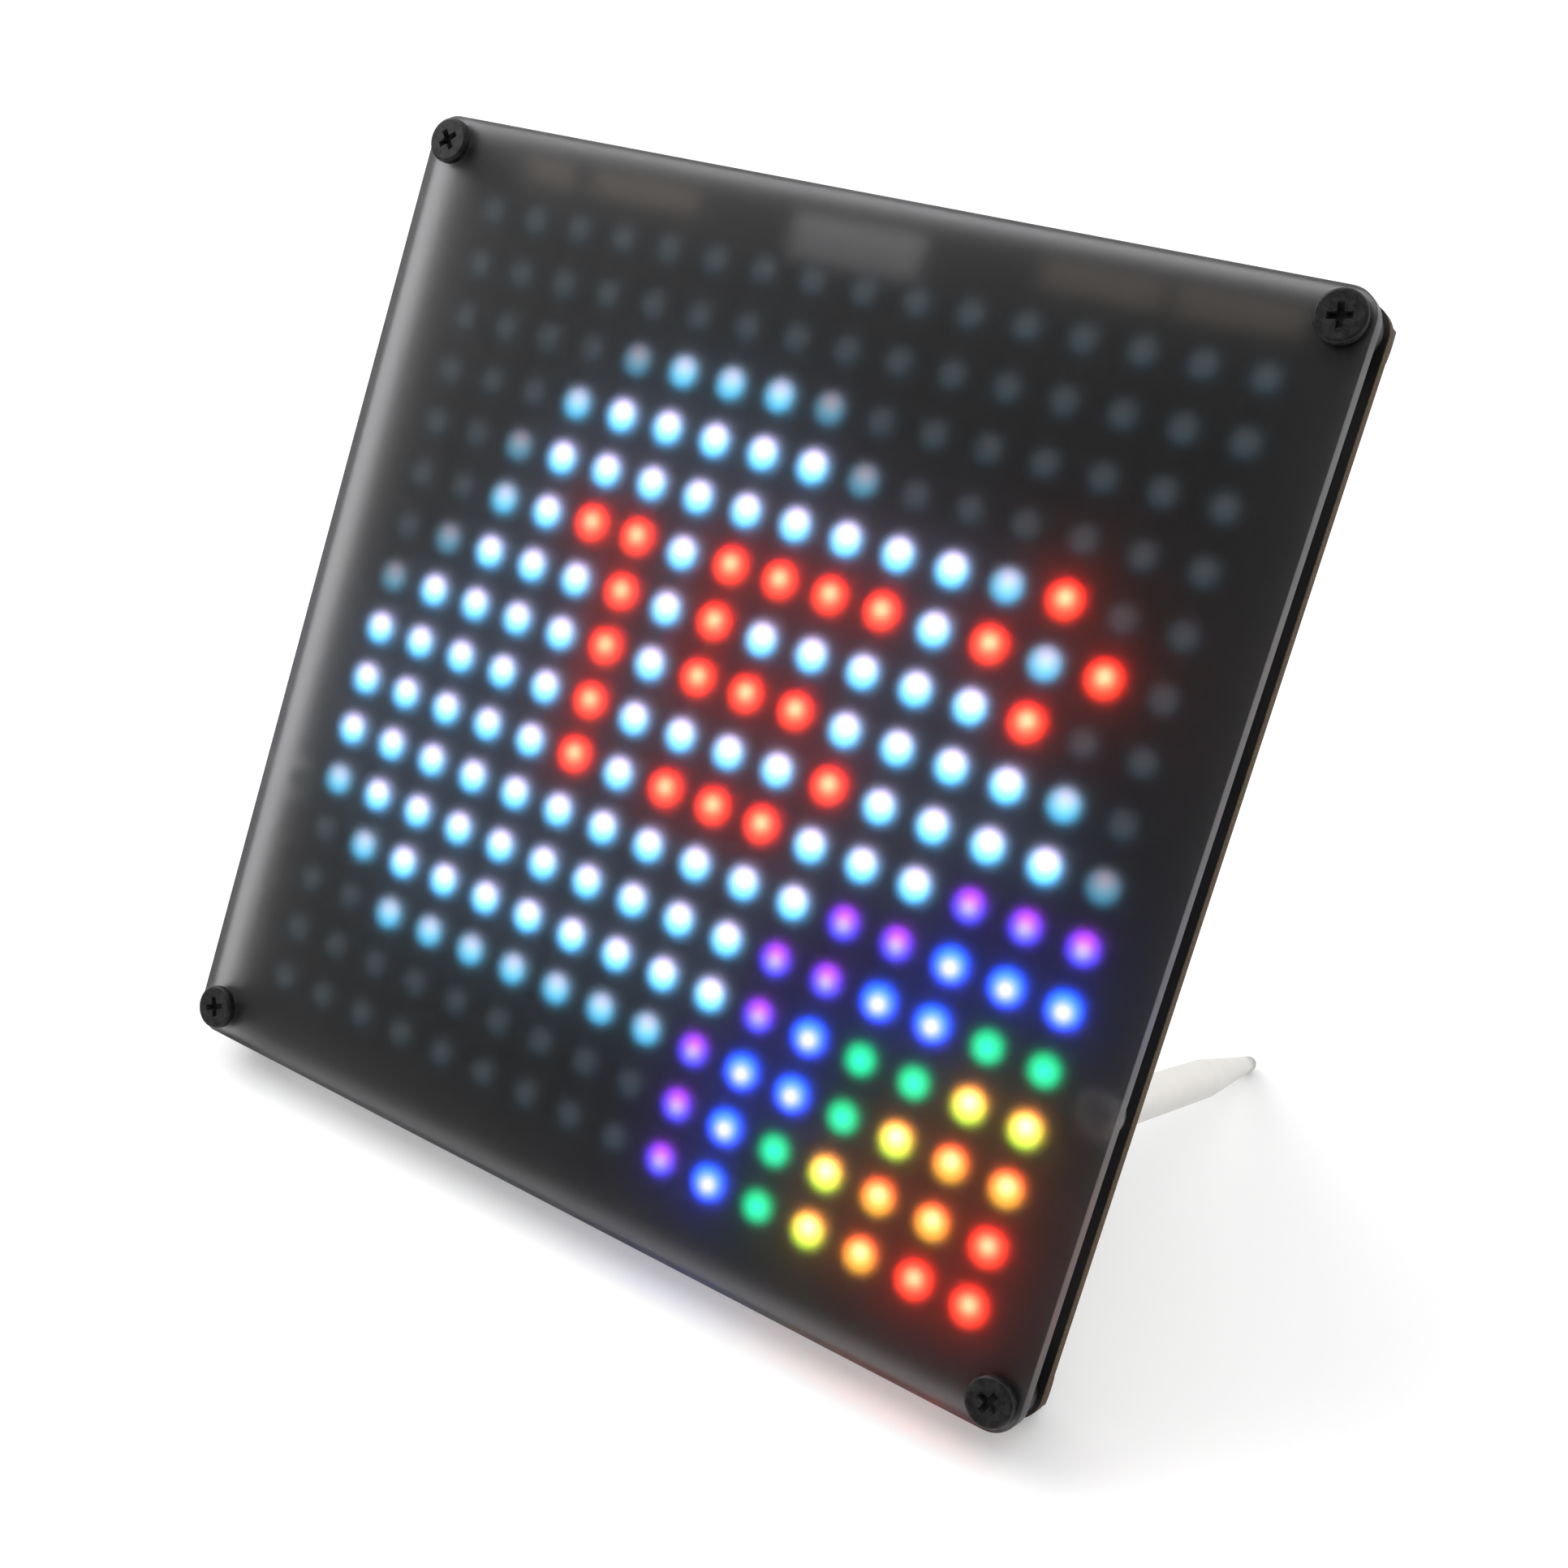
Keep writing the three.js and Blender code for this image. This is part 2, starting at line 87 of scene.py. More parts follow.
def place(node):
    """The lowest and highest corner of a CAD node in the panel's millimetres."""
    return extent([FROM_TABLE @ v.co for v in frame["nodes"][node].data.vertices])


def middle(node):
    low, high = place(node)
    return (low + high) / 2


# ---- sizes ----------------------------------------------------------------------------------

CORNERS = {
    # side across, side up, turn of the cross recess in degrees
    "top_left": (-1, 1, 40),
    "top_right": (1, 1, 12),
    "bottom_left": (-1, -1, 24),
    "bottom_right": (1, -1, 66),
}
LEDS_PER_SIDE = 16
PACKAGE_SIDE = 3.5
LENS_RADIUS = 1.2  # the pale round lens of an LED
CUP_RADIUS = 1.72  # the round cup that its light fills
GLOW = "glow"  # the colour attribute that holds an LED's light
GLOW_STRENGTH = 7.0

PLATE_HIGH = place("diffuser")[1]
BOARD_LOW, BOARD_HIGH = place("matrix_board")
BACK = BOARD_LOW.z
SCREW_OFFSET = middle("screw_top_right").x
CORNER_RADIUS = PLATE_HIGH.x - SCREW_OFFSET
LEG_PLACE = middle("leg_right").xy
LED_TOP = place("leds_top_left")[1].z
PITCH = 4 * middle("leds_top_right").x / LEDS_PER_SIDE
LED_REACH = PITCH * (LEDS_PER_SIDE - 1) / 2  # from the middle to the outer rows
HOLE_RADIUS = 1.35
SEAT_GAP = 0.05  # between a screw's head and the plate under it
SHANK_RADIUS = 1.2
THREAD_PITCH = 0.45
THREAD_DEPTH = 0.12
THREAD_ROWS_PER_TURN = 5
LEG_TAPER = 20.0
LEG_TIP = 0.85
RECESS = (2.3, 0.62, 0.22)  # span of a cross recess, width of its slots, fillet between them

# ---- paint ----------------------------------------------------------------------------------


class Wire:
    """An output socket that can be calculated with: every operator adds its Math node."""

    def __init__(self, paint, socket):
        self.paint = paint
        self.socket = socket

    def maths(self, operation, *values):
        return self.paint.node("ShaderNodeMath", {"operation": operation}, values)

    def __add__(self, other):
        return self.maths("ADD", self, other)

    def __sub__(self, other):
        return self.maths("SUBTRACT", self, other)

    def __rsub__(self, other):
        return self.maths("SUBTRACT", other, self)

    def __mul__(self, other):
        return self.maths("MULTIPLY", self, other)

    def __neg__(self):
        return self.maths("MULTIPLY", self, -1.0)

    __radd__ = __add__
    __rmul__ = __mul__

    def sine(self):
        return self.maths("SINE", self)

    def size(self):
        return self.maths("ABSOLUTE", self)

    def most(self, other):
        return self.maths("MAXIMUM", self, other)

    def rise(self, start, end, low=0.0, high=1.0):
        """Goes smoothly from low to high as the value goes from start to end."""
        settings = {"interpolation_type": "SMOOTHSTEP"}
        return self.paint.node("ShaderNodeMapRange", settings, [self, start, end, low, high])


class Paint:
    """A node tree being made, with coordinates in the panel's millimetres."""

    def __init__(self, owner):
        owner.use_nodes = True
        self.owner = owner
        self.tree = owner.node_tree
        self.tree.nodes.clear()
        self.coordinates = None

    def node(self, kind, settings=None, sockets=(), output=0):
        """Adds a node, changes its settings, then fills its sockets with values or wires."""
        made = self.tree.nodes.new(kind)
        for key, value in (settings or {}).items():
            setattr(made, key, value)
        pairs = sockets.items() if isinstance(sockets, dict) else enumerate(sockets)
        for key, value in pairs:
            socket = made.inputs[key]
            if isinstance(value, Wire):
                self.tree.links.new(value.socket, socket)
            elif socket.type == "RGBA":
                socket.default_value = (*value, 1.0)
            else:
                socket.default_value = value
        return Wire(self, made.outputs[output]) if made.outputs else None

    def mm(self):
        """Where a point lies on the piece, in the panel's millimetres."""
        if self.coordinates is None:
            spot, turn, scale = PANEL.decompose()
            raw = self.node("ShaderNodeTexCoord", output="Object")
            sockets = {"Vector": raw, "Location": spot, "Rotation": turn.to_euler(), "Scale": scale}
            self.coordinates = self.node("ShaderNodeMapping", {"vector_type": "TEXTURE"}, sockets)
        return self.coordinates

    def parts(self, vector):
        """The three numbers of a vector."""
        split = self.node("ShaderNodeSeparateXYZ", {}, [vector])
        outputs = split.socket.node.outputs
        return [Wire(self, outputs[i]) for i in range(3)]

    def squeeze(self, vector, factors):
        """A vector with each of its numbers multiplied."""
        return self.node("ShaderNodeVectorMath", {"operation": "MULTIPLY"}, [vector, factors])

    def noise(self, grain, detail=3.0, stretch=(1.0, 1.0, 1.0)):
        """Soft noise around 0.5, with lumps of about one grain in millimetres."""
        vector = self.squeeze(self.mm(), stretch)
        sockets = {"Vector": vector, "Scale": 1.0 / grain, "Detail": detail, "Roughness": 0.55}
        return self.node("ShaderNodeTexNoise", {}, sockets)

    def mix(self, factor, first, second):
        """A colour between two colours."""
        settings = {"data_type": "RGBA"}
        return self.node("ShaderNodeMix", settings, {0: factor, 6: first, 7: second}, 2)

    def bump(self, height, depth, strength=1.0):
        """A normal from a height between 0 and 1 that stands for some millimetres."""
        sockets = {"Strength": strength, "Distance": depth * MM, "Height": height}
        return self.node("ShaderNodeBump", {}, sockets)

    def finish(self, **looks):
        """Ends the tree in a Principled shader; looks are its sockets with _ for each space."""
        names = {"Base_Color": "Base Color", "Specular_IOR_Level": "Specular IOR Level"}
        sockets = {names.get(key, key.replace("_", " ")): value for key, value in looks.items()}
        shader = self.node("ShaderNodeBsdfPrincipled", {}, sockets)
        self.node("ShaderNodeOutputMaterial", {}, {"Surface": shader})
        return self.owner


def new_paint(name):
    return Paint(bpy.data.materials.new(name))


def smoked_face(name, rough):
    """Smoked acrylic with a fine satin face that spreads what is behind it."""
    paint = new_paint(name)
    grain = paint.noise(0.09, 2.0)
    haze = paint.noise(22.0, 3.0)
    return paint.finish(
        Base_Color=paint.mix(haze, (0.315, 0.315, 0.325), (0.345, 0.34, 0.345)),
        Roughness=rough + 0.05 * haze,
        Normal=paint.bump(grain, 0.003, 0.6),
        Transmission_Weight=1.0,
        IOR=1.29,
    )


def smoked_edge():
    """The cut edge of the smoked plate, with fine saw marks along it."""
    paint = new_paint("smoked_plate_edge")
    marks = paint.noise(0.25, 3.0, (1.0, 1.0, 0.08))
    return paint.finish(
        Base_Color=paint.mix(marks, (0.24, 0.24, 0.25), (0.33, 0.32, 0.33)),
        Roughness=0.42 + 0.2 * marks,
        Normal=paint.bump(marks, 0.02, 0.7),
        Transmission_Weight=1.0,
        IOR=1.49,
    )


def black_nylon():
    """Moulded black nylon, greyed in patches by handling."""
    paint = new_paint("moulded_black_nylon")
    patches = paint.noise(0.9, 4.0)
    flecks = paint.noise(0.16, 3.0)
    worn = (patches * 0.65 + flecks * 0.35).rise(0.38, 0.66)
    return paint.finish(
        Base_Color=paint.mix(worn, (0.004, 0.004, 0.005), (0.024, 0.024, 0.024)),
        Roughness=0.36 + 0.22 * flecks,
        Normal=paint.bump(patches * 0.6 + flecks * 0.4, 0.05, 0.8),
        Specular_IOR_Level=0.28,
    )


def black_solder_mask():
    """Black solder mask over glass weave, a little glossy."""
    paint = new_paint("black_solder_mask")
    x, y, _ = paint.parts(paint.mm())
    weave = (x * 9.0).sine() * (y * 9.0).sine() * 0.5 + 0.5
    cloud = paint.noise(7.0, 3.0)
    return paint.finish(
        Base_Color=paint.mix(cloud, (0.006, 0.006, 0.008), (0.014, 0.014, 0.017)),
        Roughness=0.30 + 0.16 * cloud,
        Normal=paint.bump(weave * 0.5 + cloud * 0.5, 0.012, 0.6),
    )


def glass_core(name, pale, dark):
    """The sawn edge of a circuit board: layers of glass cloth in brown resin."""
    paint = new_paint(name)
    _, _, z = paint.parts(paint.mm())
    layers = (z * 22.0).sine() * 0.5 + 0.5
    fray = paint.noise(0.3, 4.0, (1.0, 1.0, 0.35))
    tone = (layers * 0.35 + fray * 0.65).rise(0.3, 0.75)
    return paint.finish(
        Base_Color=paint.mix(tone, dark, pale),
        Roughness=0.62 + 0.25 * fray,
        Normal=paint.bump(layers * 0.3 + fray * 0.7, 0.06, 0.8),
        Specular_IOR_Level=0.12,
    )


def green_solder_mask():
    """Green solder mask with copper showing faintly through it."""
    paint = new_paint("green_solder_mask")
    x, y, _ = paint.parts(paint.mm())
    tracks = ((x * 1.25).sine() * (y * 0.9).sine()).size().rise(0.10, 0.16)
    cloud = paint.noise(3.0, 3.0)
    green = paint.mix(tracks, (0.012, 0.10, 0.045), (0.018, 0.17, 0.07))
    return paint.finish(
        Base_Color=paint.mix(cloud * 0.5, green, (0.01, 0.08, 0.04)),
        Roughness=0.26 + 0.16 * cloud,
        Normal=paint.bump(tracks, 0.02, 0.7),
    )


def gold_plate(name, dark, pale):
    """Thin gold plating on copper."""
    paint = new_paint(name)
    grain = paint.noise(0.25, 4.0)
    return paint.finish(
        Base_Color=paint.mix(grain, dark, pale),
        Metallic=1.0,
        Roughness=0.24 + 0.2 * grain,
        Normal=paint.bump(grain, 0.01, 0.6),
    )


def white_ink(name, dark, pale):
    """White marking ink, a little uneven in its thickness."""
    paint = new_paint(name)
    grain = paint.noise(0.2, 4.0)
    return paint.finish(
        Base_Color=paint.mix(grain, dark, pale),
        Roughness=0.5 + 0.3 * grain,
        Normal=paint.bump(grain, 0.01, 0.7),
    )


def led_face():
    """The black moulded face of an LED package."""
    paint = new_paint("led_package_black")
    grain = paint.noise(0.12, 3.0)
    return paint.finish(
        Base_Color=paint.mix(grain, (0.012, 0.012, 0.013), (0.026, 0.026, 0.027)),
        Roughness=0.5 + 0.25 * grain,
        Normal=paint.bump(grain, 0.02, 0.7),
    )


def led_light(name, dark, pale):
    """Frosted epoxy over an LED's three dies, lit by them; an LED that is off gets a faint glow that is
    painted light.
    """
    paint = new_paint(name)
    grain = paint.noise(0.1, 2.0)
    glow = paint.node("ShaderNodeAttribute", {"attribute_name": GLOW})
    return paint.finish(
        Base_Color=paint.mix(grain, dark, pale),
        Roughness=0.35 + 0.2 * grain,
        Normal=paint.bump(grain, 0.01, 0.5),
        Emission_Color=glow,
        Emission_Strength=GLOW_STRENGTH,
    )


def tin(name="tinned_metal", pale=(0.80, 0.80, 0.78), rough=0.2):
    """Bright tin, with the soft ripple of dipped metal."""
    paint = new_paint(name)
    ripple = paint.noise(0.5, 4.0)
    fine = paint.noise(0.08, 2.0)
    dull = tuple(c * 0.72 for c in pale)
    return paint.finish(
        Base_Color=paint.mix(ripple, dull, pale),
        Metallic=1.0,
        Roughness=rough + 0.2 * fine,
        Normal=paint.bump(ripple * 0.7 + fine * 0.3, 0.02, 0.6),
    )


def turned_aluminium():
    """Satin aluminium turned on a lathe: fine rings round the leg, and darker towards the tip."""
    paint = new_paint("turned_aluminium")
    _, _, z = paint.parts(paint.mm())
    rings = paint.noise(0.16, 2.0, (0.02, 0.02, 1.0))
    wear = paint.noise(3.5, 4.0)
    tip = place("leg_left")[0].z
    # Darker towards the tip, over its lowest five millimetres.
    tip_darkening = z.rise(tip + 0.6, tip + 5.0, 0.75, 0.0) + 0.12 * wear
    polished = paint.mix(wear, (0.60, 0.58, 0.55), (0.74, 0.72, 0.69))
    return paint.finish(
        Base_Color=paint.mix(tip_darkening, polished, (0.24, 0.24, 0.25)),
        Metallic=1.0,
        Roughness=0.30 + 0.08 * rings + 0.06 * wear,
        Normal=paint.bump(rings, 0.006, 0.25),
    )


def moulded(name, dark, pale, rough, depth=0.02, grain_size=0.1):
    """Moulded plastic or resin with a fine even grain and slow changes of tone."""
    paint = new_paint(name)
    grain = paint.noise(grain_size, 3.0)
    tone = paint.noise(2.6, 3.0)
    return paint.finish(
        Base_Color=paint.mix(tone * 0.6 + grain * 0.4, dark, pale),
        Roughness=rough + 0.22 * grain,
        Normal=paint.bump(grain, depth, 0.7),
    )


def speaker_cone_paper():
    """Pressed black paper with fibres running out from the middle."""
    paint = new_paint("speaker_cone_paper")
    fibres = paint.noise(0.3, 4.0, (1.0, 0.4, 1.0))
    tone = paint.noise(2.0, 3.0)
    return paint.finish(
        Base_Color=paint.mix(fibres, (0.022, 0.021, 0.020), (0.075, 0.072, 0.068)),
        Roughness=0.78 + 0.15 * tone,
        Normal=paint.bump(fibres, 0.05, 0.9),
    )


def clear_epoxy():
    """The clear epoxy of the light sensor."""
    paint = new_paint("sensor_clear_epoxy")
    ripple = paint.noise(0.7, 2.0)
    return paint.finish(
        Base_Color=paint.mix(ripple, (0.78, 0.80, 0.82), (0.88, 0.89, 0.90)),
        Roughness=0.06 + 0.06 * ripple,
        Normal=paint.bump(ripple, 0.02, 0.4),
        Transmission_Weight=1.0,
        IOR=1.54,
    )


SMOKED_FRONT = smoked_face("smoked_plate_front", 0.58)
SMOKED_BACK = smoked_face("smoked_plate_back", 0.78)
SMOKED_EDGE = smoked_edge()
NYLON = black_nylon()
# Darker nylon for the cross recesses of the screws: painted shade.
NYLON_RECESS_SHADE = moulded("nylon_recess_painted_shade", (0.001, 0.001, 0.001), (0.004, 0.004, 0.004), 0.7)
BLACK_MASK = black_solder_mask()
BROWN_CORE = glass_core("board_edge_brown", (0.16, 0.105, 0.06), (0.035, 0.023, 0.014))
GREEN_MASK = green_solder_mask()
PALE_CORE = glass_core("board_edge_pale", (0.42, 0.40, 0.20), (0.20, 0.20, 0.09))
GOLD = gold_plate("gold_plating", (0.80, 0.52, 0.20), (0.95, 0.70, 0.34))
PALE_GOLD = gold_plate("pale_gold_plating", (0.72, 0.60, 0.46), (0.90, 0.78, 0.62))
INK = white_ink("white_marking_ink", (0.62, 0.62, 0.60), (0.82, 0.82, 0.80))
LABEL_INK = white_ink("thick_white_ink", (0.90, 0.90, 0.89), (0.96, 0.96, 0.95))
LED_BLACK = led_face()
LED_LENS = led_light("led_lens_lit", (0.44, 0.44, 0.43), (0.56, 0.55, 0.53))
LED_RIM = led_light("led_rim_lit", (0.02, 0.02, 0.02), (0.05, 0.05, 0.05))
TIN = tin()
ZINC = tin("zinc_plated_steel", (0.66, 0.66, 0.65), 0.3)
ALUMINIUM = turned_aluminium()
RESIN = moulded("chip_resin", (0.018, 0.018, 0.020), (0.036, 0.036, 0.038), 0.5, 0.03)
SWITCH_BLACK = moulded("switch_plastic_black", (0.016, 0.016, 0.017), (0.034, 0.034, 0.035), 0.42)
IVORY_GLOSS = moulded("button_plastic_ivory", (0.70, 0.65, 0.53), (0.82, 0.78, 0.67), 0.28, 0.01)
IVORY_MATTE = moulded("socket_plastic_ivory", (0.66, 0.61, 0.49), (0.80, 0.75, 0.63), 0.5)
RESISTOR_BLACK = moulded("resistor_glaze", (0.010, 0.010, 0.012), (0.03, 0.03, 0.033), 0.2, 0.01)
CAPACITOR_TAN = moulded("capacitor_ceramic", (0.26, 0.17, 0.10), (0.38, 0.27, 0.17), 0.4, 0.015)
RUBBER = moulded("speaker_surround_rubber", (0.012, 0.012, 0.012), (0.028, 0.027, 0.027), 0.55, 0.02)
CONE_PAPER = speaker_cone_paper()
CLEAR = clear_epoxy()

# ---- shapes ---------------------------------------------------------------------------------


def polar(centre, radius, angle, z):
    """A point at a radius and an angle from a centre."""
    return Vector((centre[0] + radius * math.cos(angle), centre[1] + radius * math.sin(angle), z))


def circle(radius, z, sides, centre=(0.0, 0.0)):
    """Points round a circle, anticlockwise seen from the front."""
    return [polar(centre, radius, 2 * math.pi * i / sides, z) for i in range(sides)]


def rounded(low, high, radius, z, steps=6):
    """Points round a rectangle with round corners, anticlockwise seen from the front."""
    points = []
    corners = ((high[0], high[1]), (low[0], high[1]), (low[0], low[1]), (high[0], low[1]))
    for quarter, (x, y) in enumerate(corners):
        centre = (x - radius if x == high[0] else x + radius, y - radius if y == high[1] else y + radius)
        for step in range(steps + 1):
            points.append(polar(centre, radius, (quarter + step / steps) * math.pi / 2, z))
    return points


def shrunk(low, high, radius, inset, z, steps=6):
    """A rounded rectangle drawn in by an inset."""
    inner_low = (low[0] + inset, low[1] + inset)
    inner_high = (high[0] - inset, high[1] - inset)
    return rounded(inner_low, inner_high, max(radius - inset, 0.02), z, steps)


def quarter_round(inset, z, radius, outwards, steps=4):
    """(inset, z) pairs of a rounded edge, from the side up to a face at z that looks outwards, +1 or -1."""
    pairs = []
    for step in range(steps + 1):
        angle = step / steps * math.pi / 2
        drop = radius * (1 - math.sin(angle))
        pairs.append((inset + radius * (1 - math.cos(angle)), z - outwards * drop))
    return pairs


class Model:
    """A mesh being made in the panel's millimetres, and the finishes of its faces."""

    def __init__(self):
        self.mesh = bmesh.new()
        self.finishes = []

    def number(self, finish):
        if finish not in self.finishes:
            self.finishes.append(finish)
        return self.finishes.index(finish)

    def loop(self, points):
        return [self.mesh.verts.new(point) for point in points]

    def face(self, corners, finish):
        made = self.mesh.faces.new(corners)
        made.material_index = self.number(finish)
        return made

    def skin(self, loops, finish):
        """Faces between closed loops that follow each other."""
        for lower, upper in zip(loops, loops[1:]):
            for i in range(len(lower)):
                j = (i + 1) % len(lower)
                self.face((lower[i], lower[j], upper[j], upper[i]), finish)
        return loops

    def cap(self, finish, *loops):
        """A flat face inside the first loop and outside the others."""
        edges = []
        for loop in loops:
            for first, second in zip(loop, loop[1:] + loop[:1]):
                known = self.mesh.edges.get((first, second))
                edges.append(known or self.mesh.edges.new((first, second)))
        made = bmesh.ops.triangle_fill(self.mesh, use_beauty=True, edges=edges)
        for part in made["geom"]:
            if isinstance(part, bmesh.types.BMFace):
                part.material_index = self.number(finish)

    def closed(self, loops, finish):
        """Faces between loops that follow each other, and over the first and the last."""
        self.skin(loops, finish)
        self.face(list(reversed(loops[0])), finish)
        self.face(loops[-1], finish)

    def hoop(self, loops, finish):
        """Faces between loops that follow each other and come back to the first."""
        self.skin([*loops, loops[0]], finish)

    def turned(self, profile, finish, centre, sides):
        """A turned shape through (radius, z) pairs; a radius of 0 is a closed end."""
        rings = []
        for radius, z in profile:
            if radius > 0:
                rings.append(self.loop(circle(radius, z, sides, centre)))
            else:
                rings.append([self.mesh.verts.new((*centre, z))])
        for lower, upper in zip(rings, rings[1:]):
            for i in range(sides):
                j = (i + 1) % sides
                corners = [lower[i % len(lower)], lower[j % len(lower)]]
                corners += [upper[j % len(upper)], upper[i % len(upper)]]
                self.face(list(dict.fromkeys(corners)), finish)
        return rings

    def block(self, low, high, finish, edge=0.08, steps=2):
        """A box between two corners, with its edges rounded."""
        span = Vector(high) - Vector(low)
        radius = min(edge, 0.45 * min(span))
        profile = quarter_round(0, low[2], radius, -1, steps)[::-1]
        profile += quarter_round(0, high[2], radius, 1, steps)
        outlines = [shrunk(low, high, radius, inset, z, steps) for inset, z in profile]
        self.closed([self.loop(points) for points in outlines], finish)

    def across(self, outline, start, end, finish):
        """A flat outline of (y, z) points run from one x to another."""
        self.closed([self.loop([(x, y, z) for y, z in outline]) for x in (start, end)], finish)

    def piece(self, name, body="panel", replaces=(), sharp=32):
        """Turns the mesh into an object that rides on a body."""
        bmesh.ops.recalc_face_normals(self.mesh, faces=self.mesh.faces)
        self.mesh.transform(PANEL)
        data = bpy.data.meshes.new(name)
        self.mesh.to_mesh(data)
        self.mesh.free()
        for finish in self.finishes:
            data.materials.append(finish)
        data.shade_smooth()
        data.set_sharp_from_angle(angle=math.radians(sharp))
        thing = bpy.data.objects.new(name, data)
        bpy.context.scene.collection.objects.link(thing)
        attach(thing, body)
        if replaces:
            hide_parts(*replaces)
        return thing


def even_shading(thing):
    """Keeps flat faces flat beside their rounded edges."""
    modifier = thing.modifiers.new("even_shading", "WEIGHTED_NORMAL")
    modifier.keep_sharp = True


def repeat(thing, count, step):
    """Repeats a piece's mesh along a step in the panel's millimetres."""
    modifier = thing.modifiers.new("row", "ARRAY")
    modifier.count = count
    modifier.use_relative_offset = False
    modifier.use_constant_offset = True
    modifier.constant_offset_displace = PANEL.to_3x3() @ Vector(step)


# ---- diffuser, board and corner fixings -----------------------------------------------------


def drilled(model, outline, low, high, holes, radius, sides, edge, faces):
    """Closes the front and back of an outline with faces that have round holes right through."""
    lower, upper = [], []
    for centre in holes:
        rings = [model.loop(circle(radius, z, sides, centre)) for z in (high.z, low.z)]
        model.skin(rings, edge)
        upper.append(rings[0])
        lower.append(rings[1])
    model.cap(faces[0], outline[-1], *upper)
    model.cap(faces[1], outline[0], *lower)


def screwed_plate(name, node, holes, edge_radius, faces, edge):
    """A square plate with round corners, rounded edges and plain holes."""
    low, high = place(node)
    model = Model()
    profile = quarter_round(0, low.z, edge_radius, -1)[::-1] + quarter_round(0, high.z, edge_radius, 1)
    outline = [model.loop(shrunk(low, high, CORNER_RADIUS, i, z, 10)) for i, z in profile]
    model.skin(outline, edge)
    drilled(model, outline, low, high, holes, HOLE_RADIUS, 32, edge, faces)
    even_shading(model.piece(name, replaces=[node]))


def corner_place(corner):
    across, up, _ = CORNERS[corner]
    return Vector((across * SCREW_OFFSET, up * SCREW_OFFSET))


def leg_place(sign):
    return Vector((sign * LEG_PLACE.x, LEG_PLACE.y))


def diffuser():
    holes = [corner_place(corner) for corner in CORNERS]
    faces = (SMOKED_FRONT, SMOKED_BACK)
    screwed_plate("smoked_diffuser", "diffuser", holes, 0.1, faces, SMOKED_EDGE)


def matrix_board():
    holes = [corner_place(corner) for corner in CORNERS]
    holes += [leg_place(sign) for sign in (-1, 1)]
    faces = (BLACK_MASK, BLACK_MASK)
    screwed_plate("led_board", "matrix_board", holes, 0.06, faces, BROWN_CORE)


def cross_outline(span, width, fillet, turn, z, centre):
    """A cross with round inner corners."""
    points = []
    tip, side = span / 2, width / 2
    steps = 4
    for quarter in range(4):
        corner = [Vector((tip, side, 0.0))]
        for step in range(steps + 1):
            angle = math.radians(270 - 90 * step / steps)
            corner.append(polar((side + fillet, side + fillet), fillet, angle, 0.0))
        corner.append(Vector((side, tip, 0.0)))
        quarter_turn = Matrix.Rotation(turn + quarter * math.pi / 2, 3, "Z")
        points += [Vector((*centre, z)) + quarter_turn @ point for point in corner]
    return points


def screw_head(model, centre, seat, top, radius, edge, turn, recess_depth, finishes):
    """A low round head with a tapered cross recess; gives back the ring it sits on."""
    # inside is the finish of the cross recess; on the nylon screws it is darker nylon, painted shade.
    finish, inside = finishes
    profile = [(radius - 0.1, seat), (radius - 0.02, seat + 0.06), (radius, seat + 0.14)]
    profile += [(radius - inset, z) for inset, z in quarter_round(0, top, edge, 1, 6)]
    profile.append((radius - edge - 0.12, top))
    rings = model.turned(profile, finish, centre, 48)
    crosses = []
    for share, down in ((1.05, 0.0), (1.0, 0.05), (0.86, 0.6 * recess_depth), (0.62, recess_depth)):
        span, width, fillet = (share * size for size in RECESS)
        crosses.append(model.loop(cross_outline(span, width, fillet, turn, top - down, centre)))
    model.skin(crosses, inside)
    model.cap(inside, crosses[-1])
    model.cap(finish, rings[-1], crosses[0])
    return rings[0]


def thread(model, centre, start, end, finish):
    """A screw thread whose crest winds down from start to end; gives back its first loop."""
    sides = 20
    rows = int((start - end) / THREAD_PITCH * THREAD_ROWS_PER_TURN)
    loops = []
    for row in range(rows + 1):
        z = start - (start - end) * row / rows
        lead = min(1.0, 0.35 + (z - end) / 0.5)
        ring = []
        for i in range(sides):
            wave = ((start - z) / THREAD_PITCH + i / sides) % 1.0
            flank = min(1.0, 2.6 * abs(wave - 0.5))
            radius = (SHANK_RADIUS - THREAD_DEPTH * (1 - flank)) * min(1.0, 0.8 + 0.2 * lead)
            ring.append(polar(centre, radius, 2 * math.pi * i / sides, z))
        loops.append(model.loop(ring))
    model.skin(loops, finish)
    model.face(loops[-1], finish)
    return loops[0]


def screw(name, node, centre, seat, edge, turn, recess_depth, finishes):
    """A screw with a round head that sits on a plate's face."""
    low, high = place(node)
    model = Model()
    radius = (high.x - low.x) / 2
    base = screw_head(model, centre, seat, high.z, radius, edge, turn, recess_depth, finishes)
    neck = thread(model, centre, seat, low.z, finishes[0])
    model.cap(finishes[0], base, neck)
    even_shading(model.piece(name, replaces=[node]))


def corner_screw(corner):
    centre = corner_place(corner)
    turn = math.radians(CORNERS[corner][2])
    # The cross recess gets the darker nylon, which is painted shade.
    finishes = (NYLON, NYLON_RECESS_SHADE)
    name, node = f"nylon_screw_{corner}", f"screw_{corner}"
    screw(name, node, centre, PLATE_HIGH.z + SEAT_GAP, 0.3, turn, 0.62, finishes)


